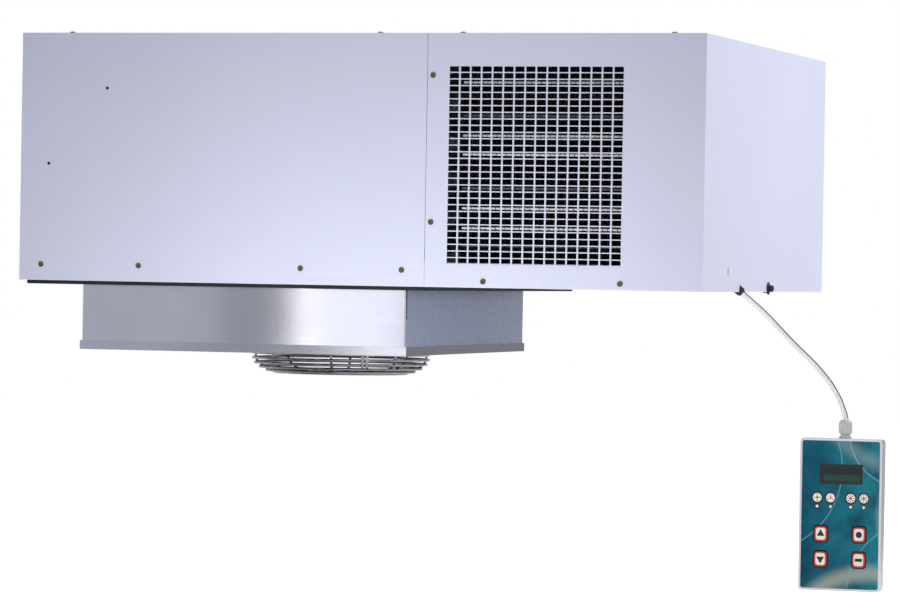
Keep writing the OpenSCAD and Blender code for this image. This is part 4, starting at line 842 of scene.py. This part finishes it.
def moulded_fan(name, node, centre, tip, hub, half_height, shaft_end, along):
    """A fan whose blades and hub are worked out about +Z and laid along the given axis. Its node and
    the body it rides on have one name."""
    blades, faces = tube_parts(blade_points(tip, hub * 0.94, 5, 0.5))
    h = half_height
    profile = np.array([
        [hub * 0.74, h * 0.2], [hub * 0.76, -h * 0.92], [hub * 0.8, -h], [hub * 0.93, -h],
        [hub, -h * 0.86], [hub, h * 0.8], [hub * 0.9, h], [0.008, h], [0.0055, h * 1.2],
        [0.004, h * 1.25], [0.004, shaft_end - 0.0005], [0.0035, shaft_end]])
    core = turned(profile, (0, 0, 0), hub_sides)
    start, lines = len(blades), len(profile)
    faces += grid_faces(lines, hub_sides, False, True, start) + end_faces(lines, hub_sides, start)
    points = np.vstack([blades, core.reshape(-1, 3)])
    points = points[:, [0, 2, 1]] if along == "Y" else points
    piece = mesh_piece(name, points + np.asarray(centre), faces, dark_plastic, node)
    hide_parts(node)
    return piece


room_fan = moulded_fan("room_fan", "evaporator_fan", (0.047, 0, -0.064),
                       0.1105, 0.034, 0.015, 0.0398, "Z")
hot_fan = moulded_fan("hot_fan", "condenser_fan", (0.4672, -0.2463, 0.1565),
                      0.1215, 0.038, 0.017, 0.0478, "Y")
print("fans", room_fan.name, hot_fan.name, "faces", len(room_fan.data.polygons))

# %% [markdown]
# ## The plug's skin
#
# The plug is wrapped in sheet that is folded at three corners and lapped at the fourth. The skin is one
# strip carried round the plug: a rounded outline at a row of heights, with its wall inside. Its front
# is brushed level and bright. Faces that look left or right take the speckled finish whose darker,
# bluer tone is painted shade.
# %% Plug skin
skin_wall, skin_round, skin_levels = 0.001, 0.002, 5
skin_low, skin_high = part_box("plug_skin")
skin_size = np.array([skin_high.x - skin_low.x, skin_high.y - skin_low.y])
outer = rounded_outline(*skin_size, skin_round)
inner = rounded_outline(*(skin_size - 2 * skin_wall), skin_round - skin_wall)
levels = np.linspace(skin_low.z, skin_high.z, skin_levels)
walls = np.concatenate([np.stack([np.c_[outer, np.full(len(outer), z)] for z in levels]),
                        np.stack([np.c_[inner, np.full(len(inner), z)] for z in levels[::-1]])])
skin = mesh_piece("plug_skin_folded", walls.reshape(-1, 3),
                  grid_faces(2 * skin_levels, len(outer), True, True),
                  plug_steel)
# The sides take the steel painted darker and bluer, as painted shade.
skin.data.materials.append(plug_side_steel_shaded)
normals = np.zeros(len(skin.data.polygons) * 3)
skin.data.polygons.foreach_get("normal", normals)
sideward = (np.abs(normals.reshape(-1, 3)[:, 0]) > 0.7).astype(np.int32)
skin.data.polygons.foreach_set("material_index", sideward)
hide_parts("plug_skin")
print("skin", skin_size.round(4), "m, sideward faces", int(sideward.sum()))

# %% Lap seam
# Where the skin laps at the front right corner, a dark strip on the upper part is painted shade in the
# gap between the sheets.
seam_place = (skin_high.x, skin_low.y + 0.0036, skin_high.z - 0.024)
seam = plate(rounded_outline(0.0030, 0.040, 0.0004, 3), [(-0.0004, 0.0), (0.0003, 0.0)], seam_place,
             (0, 1, 0))
tubes_piece("plug_seam_shade", seam[None], soft_rubber)
print("seam at", [round(v, 4) for v in seam_place])

# %% [markdown]
# ## The remote's keys
#
# Each key is a slightly domed cap: a black edge, a red ring and a pale middle with a plain black sign on
# it. The cap is one rounded outline drawn at rising heights and drawn in each time, and the ring is
# simply the faces between two of those lines. Each cap rides on its own moving body.
# %% Key caps
front_y = face_low.y
key_places = [(0.268, 0.627), (0.734, 0.627), (0.268, 0.793), (0.734, 0.793)]
sign_layers = [(0.0005, 0.0), (0.00066, 0.0)]
cap_layers = [(-0.0034, 0.0), (-0.0006, 0.0), (-0.0001, 0.0002), (0.0001, 0.0008), (0.0003, 0.0012),
              (0.0004, 0.0033), (0.00045, 0.0036), (0.0006, 0.0052)]
cap_outline = rounded_outline(0.0194, 0.0222, 0.0048)
ring_line = 4


def sign_outline(kind):
    """A plain sign's outline: an arrow up or down, a dot, or a level bar."""
    return {"up": polygon_outline(3, 0.0060, 90), "down": polygon_outline(3, 0.0060, 270),
            "dot": polygon_outline(28, 0.0041), "bar": rounded_outline(0.0096, 0.0040, 0.0008)}[kind]


for number, ((across, down), kind) in enumerate(zip(key_places, ("up", "dot", "down", "bar")), 1):
    x, z = on_face(across, down)
    place, body = (x, front_y, z), f"key_{number}"
    cap = tubes_piece(f"key_cap_{number}", plate(cap_outline, cap_layers, place)[None], ink["white"],
                      body)
    cap.data.materials.append(ink["red"])
    cap.data.materials.append(ink["black"])
    line = np.arange(len(cap.data.polygons)) // len(cap_outline)
    inks = np.where(line < ring_line, 2, line == ring_line).astype(np.int32)
    cap.data.polygons.foreach_set("material_index", inks)
    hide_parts(f"remote_key_{number}")
    tubes_piece(f"key_sign_{number}", plate(sign_outline(kind), sign_layers, place)[None],
                ink["black"], body)
print("keys", number, "at shares", key_places)

# %% [markdown]
# ## Indicators and the display's frame
#
# Four round badges sit above the keys: a black outline, a white disc with a few ticks, and a small lens
# in the middle. Under each is a small diamond. The display has a black printed frame. All of them are
# plates a few hundredths of a millimetre thick on the film, except the lenses, which are little domes.
# %% Badges, lenses and display frame
film_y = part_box("remote_overlay")[0].y
badge_places = [(0.218, 0.39), (0.38, 0.39), (0.626, 0.39), (0.785, 0.39)]
tick_counts = (4, 3, 8, 6)
lens_inks = ("green", "amber", "red", "green")
tick_reach, tick_layers = 0.0039, [(0.00006, 0.0), (0.00012, 0.0)]
lens_dome = np.array([[0.0019, 0.0], [0.0018, -0.0003], [0.0013, -0.0006], [0.0005, -0.00075]])
diamond_drop = (0, -0.0116)


def printed(name, outline, across, down, height, material, shift=(0.0, 0.0)):
    """A print on the film: an outline raised by a height, at shares of the face plus a shift."""
    x, z = on_face(across, down)
    place = (x + shift[0], film_y, z + shift[1])
    layers = [(-0.00001, 0.0), (height, 0.0)]
    return tubes_piece(name, plate(outline, layers, place)[None], material)


for number, (place, ticks, tint) in enumerate(zip(badge_places, tick_counts, lens_inks), 1):
    printed(f"badge_edge_{number}", polygon_outline(40, 0.0080), *place, 0.00004, ink["black"])
    printed(f"badge_disc_{number}", polygon_outline(40, 0.0059), *place, 0.00008, ink["white"])
    turns = 2 * np.pi * np.arange(ticks) / ticks + np.pi / 2
    x, z = on_face(*place)
    marks = np.stack([plate(rounded_outline(0.0018, 0.0011, 0.0002, 3), tick_layers,
                            (x + tick_reach * np.cos(a), film_y, z + tick_reach * np.sin(a)),
                            (np.cos(a), 0, np.sin(a)), (-np.sin(a), 0, np.cos(a))) for a in turns])
    tubes_piece(f"badge_ticks_{number}", marks, ink["black"])
    tubes_piece(f"lens_{number}", turned(lens_dome, (x, film_y, z), 24, "Y")[None], ink[tint])
    for name, radius, height, colour in (("diamond_edge", 0.0043, 0.00004, "black"),
                                         ("diamond", 0.0024, 0.00006, "white")):
        printed(f"{name}_{number}", polygon_outline(4, radius), *place, height, ink[colour],
                diamond_drop)
x, z = on_face(0.506, 0.234)
frame_outer, frame_inner, frame_height = (0.0575, 0.0265, 0.0018), (0.0500, 0.0190, 0.0010), 0.00025
frame_lines = [plate(rounded_outline(*size), [(height, 0.0)], (x, film_y, z))[0] for size, height in (
    (frame_outer, 0.0), (frame_outer, frame_height), (frame_inner, frame_height), (frame_inner, 0.0))]
display_frame = mesh_piece("display_frame", np.concatenate(frame_lines),
                           grid_faces(4, len(frame_lines[0]), True, True), ink["black"])
print("badges", number, "display frame faces", len(display_frame.data.polygons))

# %% [markdown]
# ## The cable gland
#
# The gland is a nylon nut with grips round it, on a six-sided foot. It is a turned shape whose radius
# also changes with the angle: twelve shallow grooves along the nut, and flats on the foot.
# %% Gland
gland_place = (0.800, -0.151, -0.1855)
foot_top, foot_half, foot_share = 0.0031, 0.0078, 0.93
nut_low, nut_high, groove_depth, groove_count = 0.0072, 0.0196, 0.0005, 12


def gland_shape(height, angle):
    """Change of radius: on the foot, from a circle to a hexagon; on the nut, grooves of 0.5 mm."""
    flat = np.abs((angle % (np.pi / 3)) - np.pi / 6)
    hexagon = foot_half * (np.cos(np.pi / 6) / np.cos(flat) - foot_share)
    foot = np.where((height >= 0) & (height < foot_top), hexagon, 0)
    groove = groove_depth * np.clip(np.cos(groove_count * angle) * 2, 0, 1)
    return foot - np.where((height > nut_low) & (height < nut_high), groove, 0)


ridges = np.linspace(0.0036, 0.0062, 7)
thread = np.c_[np.where(np.arange(7) % 2, 0.0066, 0.0062), ridges]
gland_profile = np.vstack([
    [[0.0062, -0.0044], [0.0062, -0.0001], [0.0076, 0.0], [0.0078, 0.0003], [0.0078, 0.0028],
     [0.0074, foot_top]],
    thread,
    [[0.0084, 0.0066], [0.0090, 0.0071], [0.0090, 0.0073], [0.0090, 0.0140], [0.0090, 0.0195],
     [0.0088, 0.0202], [0.0083, 0.0216], [0.0074, 0.0230], [0.0060, 0.0240], [0.0040, 0.0245]]])
gland = tubes_piece("gland_nut", turned(gland_profile, gland_place, 96, "Z", gland_shape)[None],
                    gland_nylon)
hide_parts("remote_gland")
print("gland", len(gland_profile), "lines,", len(gland.data.polygons), "faces")

# %% [markdown]
# ## Small marks on the front
#
# The photograph shows two small blind holes on the left front panel. Each one is a tiny turned cup,
# set into the sheet's face, whose black inside is painted shade.
# %% Pilot holes
front_face_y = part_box("evaporator_front_panel")[0].y
hole_marks = np.array([[-0.1678, 0.2630], [-0.2502, 0.1618]])
cup = np.array([[0.0022, -0.00001], [0.0022, -0.00012], [0.0016, -0.00012], [0.0014, -0.00002]])
cups = np.stack([turned(cup, (x, front_face_y, z), 20, "Y") for x, z in hole_marks])
# The cups' black is painted shade in the holes.
tubes_piece("pilot_holes", cups, ink["black"])
print("pilot holes at", hole_marks.tolist())

# %% [markdown]
# ## Floor and light
#
# A pale floor lies under the hanging remote, and the background is white. Soft daylight comes from all
# round. A soft lamp stands low and near in front of the seam, so that the casing is brightest there and
# falls off upwards and to both sides. A second one lights the side panel and a third the lids. Cards
# that only reflections can see give the steel and the chrome something to mirror: a bright strip that
# runs down the plug, grey beside it, nearly black above, dark under the plug and pale under the remote.
# %% Stage helpers
def stage_plane(name, corners, material):
    """A flat four-cornered sheet that isn't part of the object."""
    mesh = bpy.data.meshes.new(name)
    mesh.from_pydata(corners, [], [(0, 1, 2, 3)])
    sheet = bpy.data.objects.new(name, mesh)
    bpy.context.scene.collection.objects.link(sheet)
    mesh.materials.append(material)
    return sheet


def rectangle(x_range, y_range, z_range):
    """Four corners of a rectangle: two at the first y and z, and two at the last."""
    (x0, x1), (y0, y1), (z0, z1) = x_range, y_range, z_range
    return [(x0, y0, z0), (x1, y0, z0), (x1, y1, z1), (x0, y1, z1)]


def card(name, corners, grey, tint):
    """A glowing card, grey times a tint, that only reflections see."""
    material, _, shader, _ = start_material(name, Roughness=1.0, Emission_Strength=1.0,
                                            Specular_IOR_Level=0.0)
    shader.inputs["Base Color"].default_value = (0, 0, 0, 1)
    shader.inputs["Emission Color"].default_value = (*(grey * share for share in tint), 1)
    sheet = stage_plane(name, corners, material)
    sheet.visible_camera = sheet.visible_diffuse = sheet.visible_shadow = False
    sheet.visible_transmission = False


def lamp(name, place, aim, width, height, power):
    """A soft rectangular lamp that looks from its place at a point. Mirrors see only the cards."""
    light = bpy.data.lights.new(name, "AREA")
    light.shape, light.size, light.size_y, light.energy = "RECTANGLE", width, height, power
    lit = bpy.data.objects.new(name, light)
    lit.visible_glossy = lit.visible_camera = False
    bpy.context.scene.collection.objects.link(lit)
    toward = Vector(aim) - Vector(place)
    facing = toward.to_track_quat("-Z", "Y").to_matrix().to_4x4()
    lit.matrix_world = Matrix.Translation(place) @ facing


print("stage helpers ready")

# %% Floor, cards and lamps
floor_z, floor_reach = -0.47, 9
floor_material, floor_tree, floor_shader, _ = start_material(
    "floor", Roughness=0.9, Specular_IOR_Level=0.0, Base_Color=(0.86, 0.86, 0.87, 1),
    Emission_Color=(1, 1, 1, 1))
seen = add_node(floor_tree, "ShaderNodeLightPath", (-700, -300))
glow = spread(floor_tree, seen.outputs["Is Camera Ray"], 0.0, 0.76)
floor_tree.links.new(glow, floor_shader.inputs["Emission Strength"])
clear = add_node(floor_tree, "ShaderNodeBsdfTransparent", (0, -400))
below = add_node(floor_tree, "ShaderNodeNewGeometry", (-200, -600))
either = add_node(floor_tree, "ShaderNodeMixShader", (300, 0), Fac=below.outputs["Backfacing"])
feed(floor_tree, either.inputs[1], floor_shader.outputs[0])
feed(floor_tree, either.inputs[2], clear.outputs[0])
floor_tree.links.new(either.outputs[0], floor_tree.nodes["Material Output"].inputs["Surface"])
floor_ends = (-floor_reach, floor_reach)
stage_plane("floor", rectangle(floor_ends, floor_ends, (floor_z, floor_z)), floor_material)

# Each card: its ranges in x, y and z, how bright it is and its tint.
plain, blue_grey = (1.0, 1.0, 1.04), (0.98, 1.0, 1.12)
front, band, ground = (-3.0, -3.0), (-0.46, 0.42), (-0.465, -0.465)
for name, x_range, y_range, z_range, grey, tint in (
        ("left_card", (-4.2, -1.08), front, band, 0.66, blue_grey),
        ("soft_card", (-1.08, -0.735), front, band, 0.46, blue_grey),
        ("strip_card", (-0.735, -0.66), front, band, 2.6, (1.0, 0.97, 0.92)),
        ("cool_card", (-0.66, -0.20), front, band, 1.7, (0.95, 0.96, 1.04)),
        ("right_card", (-0.20, 0.04), front, band, 0.3, plain),
        ("rim_card", (0.04, 2.2), front, band, 1.1, plain),
        ("dark_card", (-4.2, 2.2), front, (0.42, 2.6), 0.03, plain),
        ("side_card", (0.7, 2.6), (4.2, 4.2), (-0.4, 1.6), 0.3, plain),
        ("remote_card", (0.95, 1.4), (1.2, 1.2), (-0.46, -0.12), 0.36, plain),
        ("low_card", (-1.3, 0.3), (-2.4, -0.4), ground, 0.02, plain),
        ("pale_card", (0.3, 1.2), (-2.4, -0.4), ground, 1.0, plain)):
    card(name, rectangle(x_range, y_range, z_range), grey, tint)

lamp("near_lamp", (0.24, -1.0, -0.36), (0.24, -0.36, 0.2), 0.4, 0.16, 5.5)
lamp("side_lamp", (3.0, 0.5, 1.1), (0.6, 0.0, 0.1), 1.6, 1.4, 50)
lamp("top_lamp", (0.1, 1.0, 2.6), (0.1, 0.3, 0.2), 2.2, 1.8, 44)

# %% [markdown]
# ## The world
#
# The background is plain white for the camera and for what metal mirrors. Everything else sees a
# dimmer white, so that it fills the shadows without washing them out.
# %% World
world = bpy.data.worlds.new("studio")
bpy.context.scene.world = world
world.use_nodes = True
air = world.node_tree
air.nodes.clear()
ray = add_node(air, "ShaderNodeLightPath", (-700, 0))
most = ray.outputs["Is Camera Ray"]
for kind in ("Is Glossy Ray", "Is Transmission Ray"):
    most = calculate(air, "MAXIMUM", most, ray.outputs[kind], place=(-450, 0))
bright_strength, dim_strength = 1.0, 0.35
bright = add_node(air, "ShaderNodeBackground", (0, 100), Color=(1, 1, 1, 1), Strength=bright_strength)
dim = add_node(air, "ShaderNodeBackground", (0, -100), Color=(0.97, 0.98, 1, 1), Strength=dim_strength)
which = add_node(air, "ShaderNodeMixShader", (250, 0), Fac=most)
feed(air, which.inputs[1], dim.outputs[0])
feed(air, which.inputs[2], bright.outputs[0])
add_node(air, "ShaderNodeOutputWorld", (450, 0), Surface=which.outputs[0])
bpy.context.scene.view_settings.view_transform = "Standard"
print("world strengths", bright_strength, "and", dim_strength)
